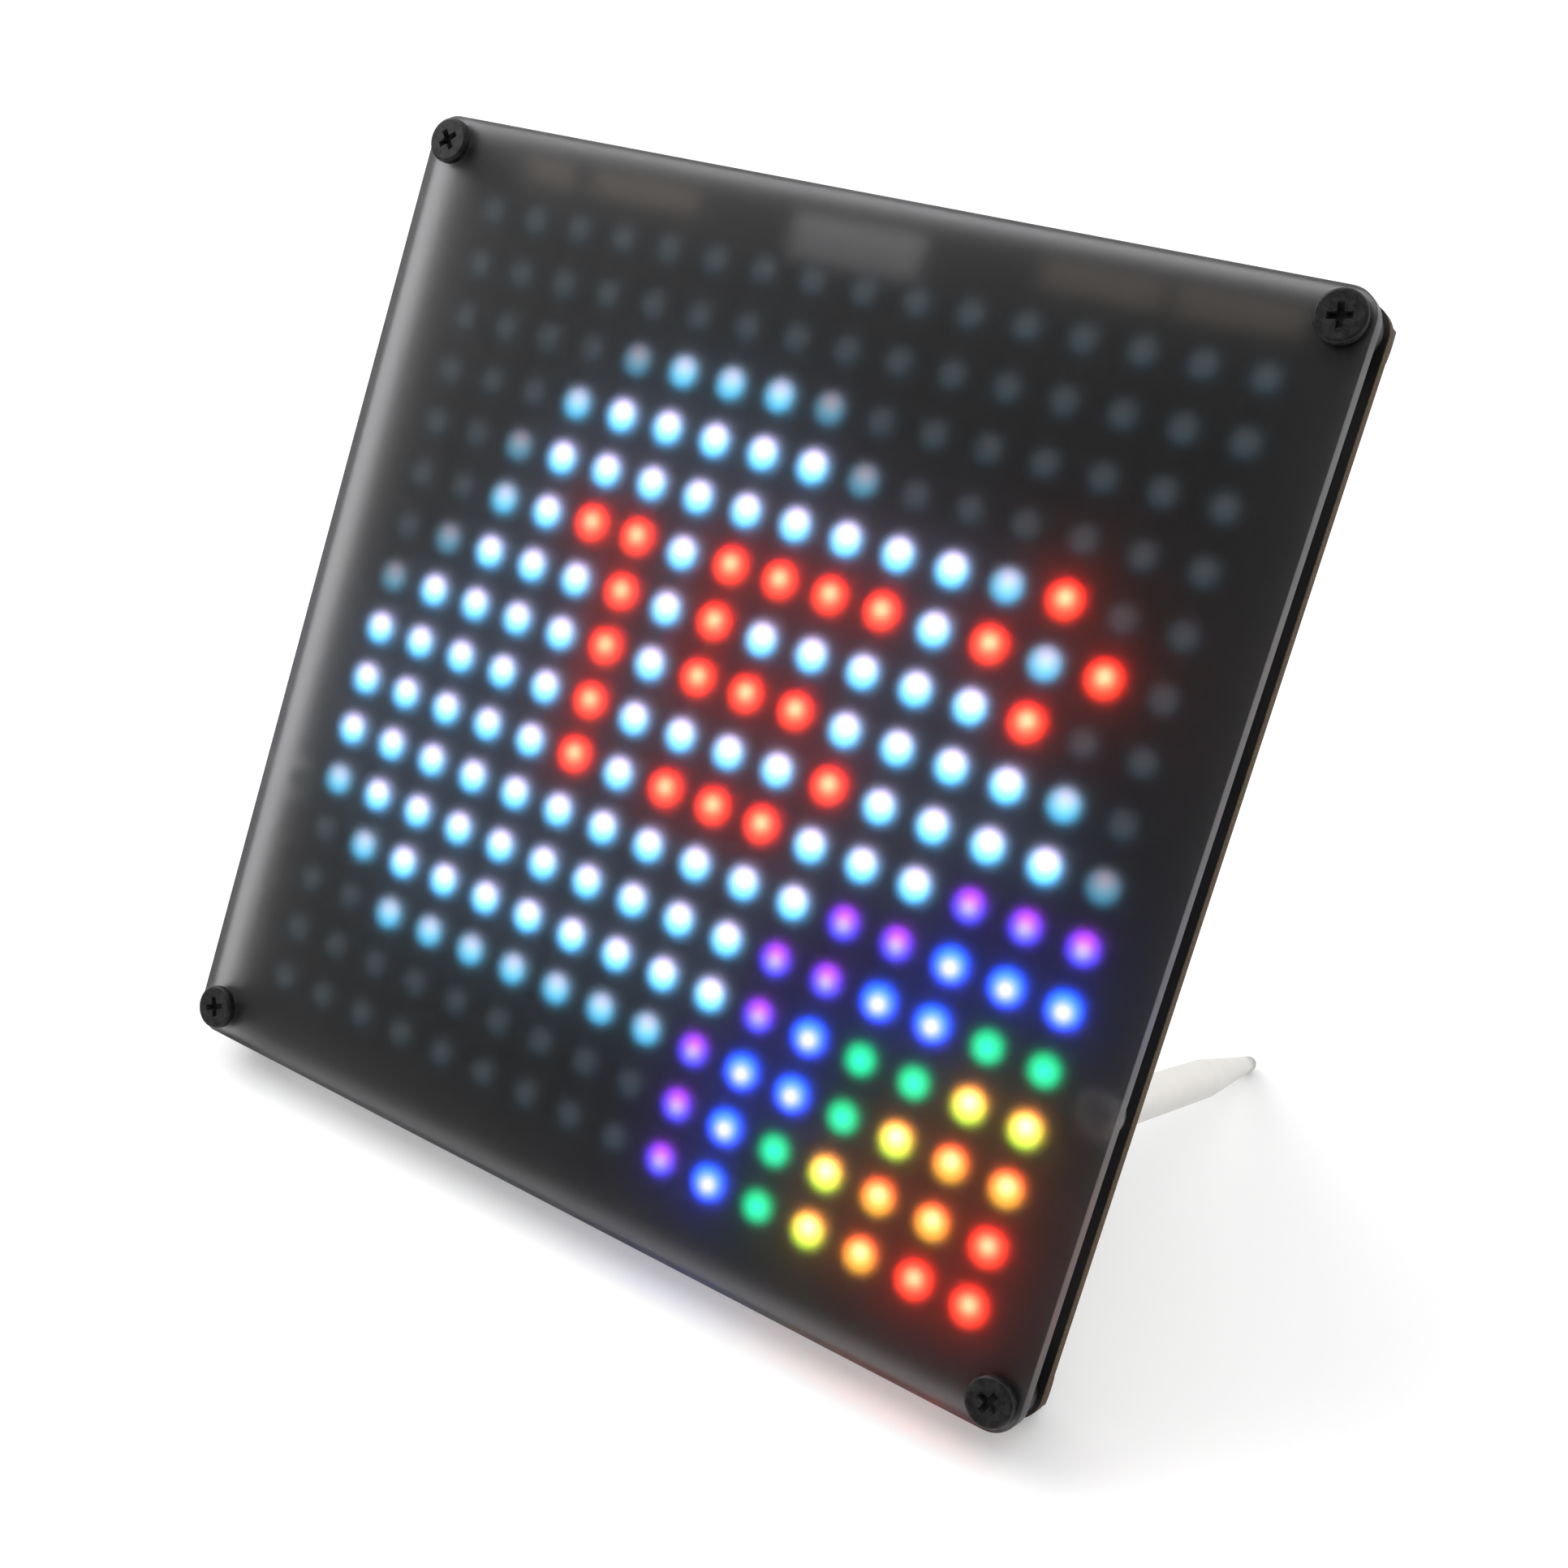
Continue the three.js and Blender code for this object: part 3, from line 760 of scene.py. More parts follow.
def spacer(corner):
    """A plain nylon tube with broken edges."""
    node = f"spacer_{corner}"
    low, high = place(node)
    model = Model()
    radius = (high.x - low.x) / 2
    bore = HOLE_RADIUS
    edge = 0.15
    half = [(bore, edge), (bore + edge, 0.0), (radius - edge, 0.0), (radius, edge)]
    profile = [(r, low.z + rise) for r, rise in half] + [(r, high.z - rise) for r, rise in half[::-1]]
    model.hoop([model.loop(circle(r, z, 40, corner_place(corner))) for r, z in profile], NYLON)
    even_shading(model.piece(f"nylon_spacer_{corner}", replaces=[node]))


def hex_nut(corner):
    """A hexagon nut with its corners chamfered and its bore countersunk."""
    node = f"nut_{corner}"
    low, high = place(node)
    centre = corner_place(corner)
    flat = min(high.x - low.x, high.y - low.y) / 2
    face = flat - 0.12
    bore = SHANK_RADIUS + 0.03
    sink = 0.2
    sixth, half_sixth = math.radians(60), math.radians(30)
    fall = math.tan(half_sixth)

    def ring(radius, end, inwards):
        """A round ring, or the chamfered hexagon where no radius is given, in from one end of the nut."""
        points = []
        for i in range(48):
            angle = 2 * math.pi * i / 48
            side = flat / math.cos(angle % sixth - half_sixth)
            depth = inwards if radius else (side - face) * fall
            z = low.z + depth if end == "back" else high.z - depth
            points.append(polar(centre, radius or side, angle + half_sixth, z))
        return model.loop(points)

    model = Model()
    back = [(bore, "back", sink), (bore + 0.25, "back", 0.0), (face, "back", 0.0), (None, "back", 0.0)]
    front = [(radius, "front", inwards) for radius, _, inwards in back[::-1]]
    model.hoop([ring(*row) for row in back + front], NYLON)
    model.piece(f"nylon_nut_{corner}", replaces=[node])


# ---- LEDs -----------------------------------------------------------------------------------

# Red, green and blue light of each kind of LED: from its dies, and more in a small heart.
LIGHTS = {
    # An LED that is off still glows faintly: painted light that stands in for daylight caught by its lens.
    "off": ((0.012, 0.012, 0.012), (0.0, 0.0, 0.0)),
    "white": ((1.45, 0.84, 1.0), (0.05, 0.05, 0.05)),
    "cool": ((0.56, 0.44, 0.47), (0.0, 0.0, 0.05)),
    "dim": ((0.25, 0.165, 0.168), (0.0, 0.0, 0.0)),
    "red": ((14.0, 0.05, 0.01), (1.0, 0.9, 0.45)),
    "orange": ((7.0, 0.38, 0.015), (0.8, 0.7, 0.55)),
    "yellow": ((5.6, 1.0, 0.035), (0.5, 0.7, 0.85)),
    "green": ((0.0, 0.55, 0.12), (0.0, 0.4, 0.5)),
    "blue": ((0.0, 0.27, 2.9), (1.4, 0.7, 1.0)),
    "purple": ((0.65, 0.03, 0.78), (0.2, 0.45, 0.9)),
}
# How far above a lens's middle the red, green and blue light comes out, how far it spreads, and how
# much of it fills the whole lens.
DIES = ((0.6, 0.95, 0.06), (-0.1, 1.4, 0.4), (-0.4, 1.5, 0.7))
DIE_STRENGTH = 0.85
HEART_SIZE = 0.62
HEART_RISE = 0.7  # where the heart lies, as a share of the way to the strongest die
# The outer radius of each band of the rainbow, in LEDs from the matrix's lower right corner.
RAINBOW = (
    (2.5, "red"),
    (4.0, "orange"),
    (4.9, "yellow"),
    (5.75, "green"),
    (6.9, "blue"),
    (7.95, "purple"),
)
# Column, row and radius of the round puffs that make the cloud, and how far down it is cut off flat.
CLOUD_PUFFS = ((5.9, 6.1, 4.3), (3.2, 9.1, 3.7), (10.9, 6.2, 2.7), (11.0, 9.3, 3.9), (8.9, 12.3, 7.4))
CLOUD_BASE = 13.2
FIGURE_TOP, FIGURE_LEFT = 4, 4
FIGURE = (
    ".........#.",
    "##.####.#.#",
    ".#.#.....#.",
    ".#.###.....",
    ".#....#....",
    ".#.###.....",
)


def cloud_light(column, row):
    """The cloud's light at an LED: white inside, weaker where its outline only partly covers the LED."""
    inside = max(radius - math.hypot(column - x, row - y) for x, y, radius in CLOUD_PUFFS)
    cover = min(inside, CLOUD_BASE - row) + 0.5
    for limit, light in ((0.8, "white"), (0.45, "cool"), (0.15, "dim")):
        if cover >= limit:
            return light
    return "off"


def light_of(column, row):
    """What an LED shows, by its column and row from the top left: rainbow, figure, cloud or nothing."""
    arc = math.hypot(LEDS_PER_SIDE - column, LEDS_PER_SIDE - row)
    for radius, colour in RAINBOW:
        if arc < radius:
            return colour
    line, spot = row - FIGURE_TOP, column - FIGURE_LEFT
    if 0 <= line < len(FIGURE) and 0 <= spot < len(FIGURE[0]) and FIGURE[line][spot] == "#":
        return "red"
    return cloud_light(column, row)


def led_centre(column, row):
    return Vector((-LED_REACH + column * PITCH, LED_REACH - row * PITCH))


def led_packages(corner):
    """One quarter of the matrix: black packages with a cut corner, a round cup and tinned feet."""
    across, up, _ = CORNERS[corner]
    node = f"leds_{corner}"
    low, high = place(node)
    half = PACKAGE_SIDE / 2
    count = LEDS_PER_SIDE // 2
    centre = led_centre(0 if across < 0 else count, 0 if up > 0 else count)
    model = Model()
    cut = 0.45
    base, top = low.z + 0.25, high.z

    def outline(inset, z):
        s = half - inset
        flat = [(s, s), (-s + cut, s), (-s, s - cut), (-s, -s), (s, -s)]
        return model.loop([(centre.x + x, centre.y + y, z) for x, y in flat])

    profile = ((0.06, base), (0.0, base + 0.06), (0.0, top - 0.1), (0.07, top))
    loops = model.skin([outline(inset, z) for inset, z in profile], LED_BLACK)
    model.face(list(reversed(loops[0])), LED_BLACK)
    walls = ((CUP_RADIUS, top), (CUP_RADIUS - 0.02, top - 0.12))
    cup = model.skin([model.loop(circle(r, z, 24, centre)) for r, z in walls], LED_BLACK)
    model.face(cup[-1], LED_BLACK)
    model.cap(LED_BLACK, loops[-1], cup[0])
    for side in (-1, 1):
        ends = sorted((centre.x + side * (half - 0.5), centre.x + side * (half - 0.001)))
        for row in (centre.y - 0.9, centre.y + 0.9):
            model.block((ends[0], row - 0.4, low.z), (ends[1], row + 0.4, base + 0.02), TIN, 0.03, 1)
    packages = model.piece(f"led_packages_{corner}", replaces=[node])
    repeat(packages, count, (PITCH, 0.0, 0.0))
    repeat(packages, count, (0.0, -PITCH, 0.0))


def lens_light(kind, away):
    """The light at a point of an LED's lens, away being from the lens's middle."""
    wide, heart = LIGHTS[kind]
    heart_up = HEART_RISE * DIES[wide.index(max(wide))][0]

    def fading(up, size):
        return math.exp(-((away - Vector((0.0, up))).length / size) ** 2)

    core = fading(heart_up, HEART_SIZE)
    light = []
    for strength, extra, (up, reach, filling) in zip(wide, heart, DIES):
        light.append(strength * (filling + DIE_STRENGTH * fading(up, reach)) + extra * core)
    return light


def led_lenses():
    """The round lenses of all the LEDs, each painted with its own light."""
    model = Model()
    glow = model.mesh.verts.layers.float_color.new(GLOW)
    crown, sag = LED_TOP - 0.045, 0.015
    radii = (0.0, 0.35, 0.7, 1.0, LENS_RADIUS, 1.42, CUP_RADIUS - 0.03)
    profile = [(r, crown - sag * r * r) for r in radii]
    for row in range(LEDS_PER_SIDE):
        for column in range(LEDS_PER_SIDE):
            centre = led_centre(column, row)
            kind = light_of(column, row)
            for ring in model.turned(profile, LED_LENS, centre, 16):
                for vertex in ring:
                    vertex[glow] = (*lens_light(kind, vertex.co.xy - centre), 1.0)
    for face in model.mesh.faces:
        spot = face.calc_center_median()
        column = round((spot.x + LED_REACH) / PITCH)
        row = round((LED_REACH - spot.y) / PITCH)
        if (spot.xy - led_centre(column, row)).length > LENS_RADIUS:
            face.material_index = model.number(LED_RIM)
    model.piece("led_lenses")


# ---- legs -----------------------------------------------------------------------------------


def leg(side, sign):
    """A turned rod with a tapered spike and a round tip."""
    node = f"leg_{side}"
    low, high = place(node)
    radius = (high.x - low.x) / 2
    shoulder, top = low.z + LEG_TAPER, high.z
    groove = radius - 0.12
    bore, bore_depth = 1.25, 6.4
    steps = 6
    profile = [(0.0, low.z)]
    for step in range(1, steps + 1):
        angle = math.radians(84.6 * step / steps)
        profile.append((LEG_TIP * math.sin(angle), low.z + LEG_TIP * (1 - math.cos(angle))))
    profile += [(radius - 0.06, shoulder - 0.8), (radius - 0.015, shoulder - 0.25)]
    profile.append((radius, shoulder + 0.3))
    profile += [(radius, top - 1.6), (groove, top - 1.5), (groove, top - 1.2), (radius, top - 1.1)]
    profile += [(radius, top - 0.35), (radius - 0.3, top), (bore + 0.05, top), (bore, top - bore_depth)]
    profile.append((0.0, top - bore_depth - 0.2))
    model = Model()
    model.turned(profile, ALUMINIUM, leg_place(sign), 56)
    even_shading(model.piece(f"spike_leg_{side}", replaces=[node]))


def leg_screw(side, sign):
    turn = math.radians(30 * sign)
    seat = BOARD_HIGH.z + SEAT_GAP
    name, node = f"steel_screw_{side}", f"leg_screw_{side}"
    screw(name, node, leg_place(sign), seat, 0.5, turn, 0.65, (ZINC, ZINC))


# ---- front of the board ---------------------------------------------------------------------


def front_markings():
    """A white patch and plain gold bars along the top of the board."""
    model = Model()
    base = BOARD_HIGH.z
    inked = base + 0.04
    model.block((-8.0, 47.0, base), (7.3, 51.6, inked), LABEL_INK, 0.02, 1)
    for start, end in ((19.9, 32.4), (33.6, 46.3), (-44.0, -36.6), (-34.2, -20.1)):
        for foot in (49.4, 50.9):
            model.block((start, foot, base), (end, foot + 0.9, inked), PALE_GOLD, 0.02, 1)
    model.piece("board_front_markings")


def light_sensor():
    """A small black base with a clear top over its dark die."""
    low, high = place("light_sensor")
    model = Model()
    shelf = low.z + 0.4
    model.block(low, (high.x, high.y, shelf), SWITCH_BLACK, 0.06)
    border = Vector((0.12, 0.12))
    clear_low, clear_high = low.xy + border, high.xy - border
    model.block((*clear_low, shelf), (*clear_high, high.z), CLEAR, 0.2, 3)
    half_die = Vector((0.375, 0.375))
    centre = (low.xy + high.xy) / 2
    model.block((*(centre - half_die), shelf - 0.02), (*(centre + half_die), shelf + 0.1), RESIN, 0.02, 1)
    even_shading(model.piece("daylight_sensor", replaces=["light_sensor"]))


# ---- buttons --------------------------------------------------------------------------------

# How thick a switch's floor and lid are, how wide and tall its plunger's flange is, and the radius of
# the plunger's rounded edge.
USER_SWITCH = {"floor": 0.65, "lid": 0.4, "flange": 0.5, "flange_height": 0.45, "edge": 0.3}
BOOT_SWITCH = {"floor": 0.3, "lid": 0.3, "flange": 0.3, "flange_height": 0.3, "edge": 0.15}
SWITCH_NAMES = [joint["name"].removeprefix("press_") for joint in frame["joints"]]
DRIVERS = range(1, 5)  # the numbers of the four LED driver chips
RUNNING_GAP = 0.1  # between a plunger's stem and the lid round it


def switch(name):
    """A push switch: moulded base, pressed steel cover held by four rivets, and four bent feet."""
    node = f"switch_{name}"
    sizes = BOOT_SWITCH if name == "boot" else USER_SWITCH
    low, high = place(node)
    button_low, button_high = place(f"button_{name}")
    centre = middle(node).xy
    half = (high.x - low.x) / 2
    stem = (button_high.x - button_low.x) / 2 - sizes["flange"]
    mouth = stem + RUNNING_GAP
    well = mouth + sizes["flange"]
    cover, step = 0.45 * sizes["lid"], 0.09 * half
    sides = 40
    model = Model()

    def outline(inset, z):
        return shrunk(low, high, 0.16 * half, inset, z)

    cover_foot, lid = low.z + cover, low.z + sizes["lid"]
    profile = [(0.05, high.z), (0.0, high.z - 0.06), (0.0, cover_foot + 0.05), (0.05, cover_foot)]
    profile.append((step, cover_foot))
    base = model.skin([model.loop(outline(i, z)) for i, z in profile], SWITCH_BLACK)
    model.face(base[0], SWITCH_BLACK)
    top = [base[-1], model.loop(outline(step, low.z + 0.05)), model.loop(outline(step + 0.05, low.z))]
    model.skin(top, TIN)
    wall = model.turned([(mouth + 0.04, low.z), (mouth, low.z + 0.05), (mouth, lid)], TIN, centre, sides)
    model.cap(TIN, top[-1], wall[0])
    inside = [model.loop(circle(well, z, sides, centre)) for z in (lid, high.z - sizes["floor"])]
    model.skin([wall[-1], *inside], SWITCH_BLACK)
    model.face(inside[-1], SWITCH_BLACK)
    rivet = 0.13 * half
    domed = ((0.0, 0.001), (rivet, 0.001), (rivet, 0.05), (0.6 * rivet, 0.09), (0.0, 0.1))
    rivet_head = [(radius, low.z - proud) for radius, proud in domed]
    for x in (-1, 1):
        ends = sorted((centre.x + x * (half - 0.3), centre.x + x * 1.3 * half))
        for y in (-1, 1):
            model.turned(rivet_head, SWITCH_BLACK, centre + Vector((x, y)) * 0.74 * half, 16)
            foot_y = centre.y + y * 0.62 * half
            foot_low = (ends[0], foot_y - 0.12 * half, high.z - 0.22)
            model.block(foot_low, (ends[1], foot_y + 0.12 * half, high.z), TIN, 0.05, 1)
    even_shading(model.piece(f"push_switch_{name}", replaces=[node]))


def plunger(name):
    """The moving button of a switch: a flange inside, a round-edged stem with a shallow dish."""
    node = f"button_{name}"
    sizes = BOOT_SWITCH if name == "boot" else USER_SWITCH
    low, high = place(node)
    rim = (high.x - low.x) / 2
    stem = rim - sizes["flange"]
    edge = sizes["edge"]
    shelf = high.z - sizes["flange_height"]
    profile = [(0.0, high.z), (rim - 0.05, high.z), (rim, high.z - 0.05), (rim, shelf + 0.05)]
    profile += [(rim - 0.05, shelf), (stem, shelf)]
    profile += [(stem - inset, z) for inset, z in quarter_round(0, low.z, edge, -1, 5)]
    dish = stem - edge - 0.08
    hollow = ((1.0, 0.0), (0.75, 0.05), (0.4, 0.08), (0.0, 0.09))
    profile += [(dish * share, low.z + depth) for share, depth in hollow]
    model = Model()
    model.turned(profile, IVORY_GLOSS, middle(node).xy, 40)
    even_shading(model.piece(f"push_button_{name}", f"plunger_{name}", [node], 28))


# ---- chips and small parts ------------------------------------------------------------------


def spread(centre, count, pitch):
    """Places in a row, a pitch apart, with the centre in the middle of the row."""
    return [centre + (i - (count - 1) / 2) * pitch for i in range(count)]


def slab(model, centre, half, back, front, finish, edge, steps=1):
    """A thin block round a centre, with half its width and height, between two depths."""
    low = (centre[0] - half[0], centre[1] - half[1], back)
    model.block(low, (centre[0] + half[0], centre[1] + half[1], front), finish, edge, steps)



def moulded_body(model, low, high, draft, dimple):
    """A chip's body, wider along its parting line, with a dimple that marks its first terminal."""
    waist = (low.z + high.z) / 2
    profile = [(draft, high.z), (0.0, waist + 0.03), (0.0, waist - 0.03)]
    profile += [(draft, low.z + 0.04), (draft + 0.04, low.z)]
    loops = model.skin([model.loop(shrunk(low, high, 0.1, i, z, 3)) for i, z in profile], RESIN)
    model.face(loops[0], RESIN)
    spot = (low.x + draft + 2.6 * dimple, high.y - draft - 2.6 * dimple)
    hollow = [(dimple, low.z), (0.85 * dimple, low.z + 0.056), (0.0, low.z + 0.08)]
    cup = model.turned(hollow, RESIN, spot, 20)
    model.cap(RESIN, loops[-1], cup[0])


def led_driver(number):
    """A chip with two rows of bent legs."""
    node = f"led_driver_{number}"
    low, high = place(node)
    reach, per_side, pitch, width = 1.0, 12, 0.65, 0.28
    foot, thick = high.z, 0.16
    shoulder = foot - 0.7
    model = Model()
    body_low = Vector((low.x, low.y + reach, low.z))
    body_high = Vector((high.x, high.y - reach, high.z - 0.1))
    moulded_body(model, body_low, body_high, 0.1, 0.3)
    bend = [(-0.15, shoulder), (0.26, shoulder), (0.5, foot), (reach, foot)]
    bend += [(reach, foot - thick), (0.6, foot - thick)]
    bend += [(0.36, shoulder - thick), (-0.15, shoulder - thick)]
    for side, edge in ((-1, body_low.y), (1, body_high.y)):
        outline = [(edge + side * y, z) for y, z in bend]
        for x in spread(middle(node).x, per_side, pitch):
            model.across(outline, x - width / 2, x + width / 2, TIN)
    even_shading(model.piece(f"driver_chip_{number}", replaces=[node]))


def flat_chip(node, name, per_side):
    """A leadless chip with flat terminals round its foot."""
    low, high = place(node)
    model = Model()
    moulded_body(model, low, Vector((high.x, high.y, high.z - 0.02)), 0.04, 0.28)
    side = high.x - low.x
    pitch = side / (per_side + 1)
    buried, proud, half_width, tall = 0.3, 0.03, 0.225 * pitch, 0.22
    half_length = (buried + proud) / 2
    centre = middle(node)
    for shift in spread(0.0, per_side, pitch):
        for sign in (-1, 1):
            out = sign * (side / 2 + proud - half_length)
            spot, half = (centre.x + out, centre.y + shift), (half_length, half_width)
            slab(model, spot, half, high.z - tall, high.z, TIN, 0.02)
            spot, half = (centre.x + shift, centre.y + out), (half_width, half_length)
            slab(model, spot, half, high.z - tall, high.z, TIN, 0.02)
    even_shading(model.piece(name, replaces=[node]))


def chip_part(model, spot, upright, base, body, size=(1.6, 0.8, 0.5)):
    """A resistor or capacitor with its two tinned ends, standing on the board's back."""
    length, width, height = size
    band = 0.22 * length
    solder = 0.03

    def box(shift, half_length, half_width, top, finish):
        centre, half = (spot[0] + shift, spot[1]), (half_length, half_width)
        if upright:
            centre, half = (spot[0], spot[1] + shift), (half_width, half_length)
        slab(model, centre, half, base - top, base, finish, 0.05, 2)

    box(0.0, length / 2 - 0.8 * band, width / 2 - solder, height - solder, body)
    for shift in (band / 2 - length / 2, length / 2 - band / 2):
        box(shift, band / 2, width / 2, height, TIN)


def printed_frame(model, low, high, margin, radius, width, base, top):
    """A thin line of white ink round a part, some way outside its box."""
    low = (low.x - margin[0], low.y - margin[1])
    high = (high.x + margin[0], high.y + margin[1])
    profile = ((0, base), (0, top), (width, top), (width, base))
    model.hoop([model.loop(shrunk(low, high, radius, i, z, 4)) for i, z in profile], INK)


def plated_hole(model, spot, base, radius, ring):
    """A plated hole in a board's back: its raised ring, and a black disc in the hole that is painted shade.
    """
    lower, raised, floor_at, lip = base + 0.01, base - 0.03, base - 0.012, base - 0.002
    profile = ((radius, lower), (radius + ring, lower), (radius + ring, raised), (radius, raised))
    model.hoop([model.loop(circle(r, z, 16, spot)) for r, z in profile], GOLD)
    # A black disc just inside the hole: painted shade for its open inside.
    hole_shade_disc = [(0.0, floor_at), (radius, floor_at), (radius, lip), (0.0, lip)]
    model.turned(hole_shade_disc, SWITCH_BLACK, spot, 16)


def small_parts():
    """Resistors and capacitors beside the chips they serve."""
    model = Model()
    base = BACK - 0.01
    for number in DRIVERS:
        centre = middle(f"led_driver_{number}")
        for x in spread(centre.x, 3, 2.7):
            chip_part(model, (x, centre.y - 5.6), False, base, CAPACITOR_TAN)
        for y in spread(centre.y, 2, 2.6):
            chip_part(model, (centre.x + 6.6, y), True, base, RESISTOR_BLACK)
    amplifier = middle("amplifier_chip")
    for y in spread(amplifier.y, 3, 2.4):
        chip_part(model, (amplifier.x + 4.6, y), False, base, CAPACITOR_TAN)
    for x in spread(amplifier.x, 3, 2.2):
        chip_part(model, (x, amplifier.y + 4.6), True, base, RESISTOR_BLACK)
    chip_part(model, (amplifier.x, amplifier.y - 5.2), False, base, CAPACITOR_TAN, (3.2, 1.6, 1.3))
    speaker_top = place("speaker_frame")[1].y
    board_bottom = place("controller_board")[0].y
    for i, x in enumerate(spread(0.0, 8, 3.2)):
        body = RESISTOR_BLACK if i % 3 else CAPACITOR_TAN
        chip_part(model, (x, (speaker_top + board_bottom) / 2), True, base, body)
    even_shading(model.piece("small_parts_of_the_board"))


def board_back_details():
    """Tracks under the black mask, plated holes and white outlines round the parts."""
    model = Model()
    base, raised = BACK + 0.01, BACK - 0.03
    controller_edge = place("controller_board")[1].x
    for number in DRIVERS:
        low, high = place(f"led_driver_{number}")
        centre = middle(f"led_driver_{number}")
        side = 1 if centre.x > 0 else -1
        ends = sorted((side * (controller_edge + 2.6), centre.x - side * 5.6))
        for i, y in enumerate(spread(centre.y, 8, 0.75)):
            model.block((ends[0], y - 0.14, raised), (ends[1], y + 0.14, base), BLACK_MASK, 0.02, 1)
            hole_x = side * (controller_edge + 2.3 - 0.9 * (i % 2))
            plated_hole(model, (hole_x, y), BACK, 0.16, 0.16)
        printed_frame(model, low, high, (0.5, 0.4), 0.3, 0.15, base, raised)
    for name in SWITCH_NAMES:
        if name != "boot":
            printed_frame(model, *place(f"switch_{name}"), (1.3, 0.6), 0.8, 0.18, base, raised)
    printed_frame(model, *place("speaker_frame"), (0.7, 0.7), 5.7, 0.18, base, raised)
    for x in (-36.0, 36.0):
        for y in spread(middle("controller_board").y, 24, 1.9):
            slab(model, (x, y), (0.12, 0.95), raised, base, BLACK_MASK, 0.02)
    model.piece("board_back_details")


# ---- controller board -----------------------------------------------------------------------


def controller_board():
    """The green controller board with plated half holes along both long edges."""
    low, high = place("controller_board")
    sideways, from_end = 5.7, 2.0
    model = Model()
    x = middle("controller_board").x
    profile = [(0.03, low.z), (0.0, low.z + 0.03), (0.0, high.z - 0.03), (0.03, high.z)]
    outline = [model.loop(shrunk(low, high, 1.5, i, z)) for i, z in profile]
    model.skin(outline, PALE_CORE)
    ends = (low.y + from_end, high.y - from_end)
    holes = [(x + side * sideways, y) for side in (-1, 1) for y in ends]
    drilled(model, outline, low, high, holes, 1.05, 28, PALE_CORE, (GREEN_MASK, GREEN_MASK))
    even_shading(model.piece("controller_circuit_board", replaces=["controller_board"]))


def controller_pads():
    """The plated pads, small parts and outlines on the controller board."""
    low, high = place("controller_board")
    centre = middle("controller_board")
    model = Model()
    face = low.z
    for y in spread(centre.y, 20, 2.54):
        for side in (-1, 1):
            x = centre.x + side * (high.x - low.x) / 2
            slab(model, (x - side * 0.735, y), (0.765, 0.7), face - 0.03, face + 0.01, GOLD, 0.02)
            slab(model, (x, y), (0.05, 0.55), face - 0.02, high.z, GOLD, 0.02)
            plated_hole(model, (x - side * 1.05, y), face - 0.03, 0.35, 0.2)
    parts = [(x, y) for x in (-7.0, 7.0) for y in (9.6, 13.0, 16.4)]
    parts += [(-2.0, 19.6), (2.0, 19.6)]
    for i, (x, y) in enumerate(parts):
        body = CAPACITOR_TAN if i % 2 else RESISTOR_BLACK
        chip_part(model, (centre.x + x, y), i < 6, face, body, (1.6, 0.8, 0.45))
    chip_part(model, (centre.x + 3.6, 24.6), True, face, RESISTOR_BLACK, (3.0, 1.7, 1.0))
    chip_part(model, (centre.x + 6.2, 24.6), True, face, INK, (2.0, 1.2, 0.6))
    printed_frame(model, *place("radio_shield"), (0.5, 0.5), 1.2, 0.15, face, face - 0.03)
    even_shading(model.piece("controller_pads_and_parts"))


def radio_shield():
    """A drawn tin can with a pressed top and a row of vent holes."""
    low, high = place("radio_shield")
    model = Model()
    pressed, vent_floor = low.z + 0.07, low.z + 0.3
    profile = [(0.0, high.z), *quarter_round(0, low.z, 0.3, -1, 5)]
    profile += [(1.0, low.z), (1.15, low.z + 0.05), (1.3, pressed), (1.45, pressed)]
    loops = model.skin([model.loop(shrunk(low, high, 1.0, i, z, 6)) for i, z in profile], TIN)
    model.face(loops[0], TIN)
    vent = [(0.35, pressed), (0.33, vent_floor), (0.0, vent_floor)]
    vents = []
    centre = middle("radio_shield")
    for x in spread(centre.x, 4, 1.9):
        for y in spread(centre.y, 3, 2.4):
            vents.append(model.turned(vent, TIN, (x, y), 16)[0])
    model.cap(TIN, loops[-1], *vents)
    even_shading(model.piece("radio_shield_can", replaces=["radio_shield"]))


# ---- sockets --------------------------------------------------------------------------------


def open_box(model, low, high, wall, radius, axis, mouth, back, finish):
    """A box with a cavity that opens along x or y, towards the positive or negative side."""
    a = 1 if axis == "x" else 0
    along = 0 if axis == "x" else 1
    ends = (low[along], high[along]) if mouth > 0 else (high[along], low[along])

    def outline(inset, distance):
        flat_low, flat_high = (low[a] + inset, low.z + inset), (high[a] - inset, high.z - inset)
        flat = rounded(flat_low, flat_high, max(radius - inset, 0.05), 0, 5)
        if axis == "x":
            return model.loop([(distance, p.x, p.y) for p in flat])
        return model.loop([(p.x, distance, p.y) for p in flat])

    soft = 0.08
    closed, opened = ends
    floor_at = closed + mouth * back
    pairs = ((soft, closed), (0.0, closed + mouth * soft), (0.0, opened - mouth * soft), (soft, opened))
    pairs += ((wall - soft, opened), (wall, opened - mouth * soft), (wall, floor_at))
    model.closed([outline(inset, distance) for inset, distance in pairs], finish)
    return floor_at


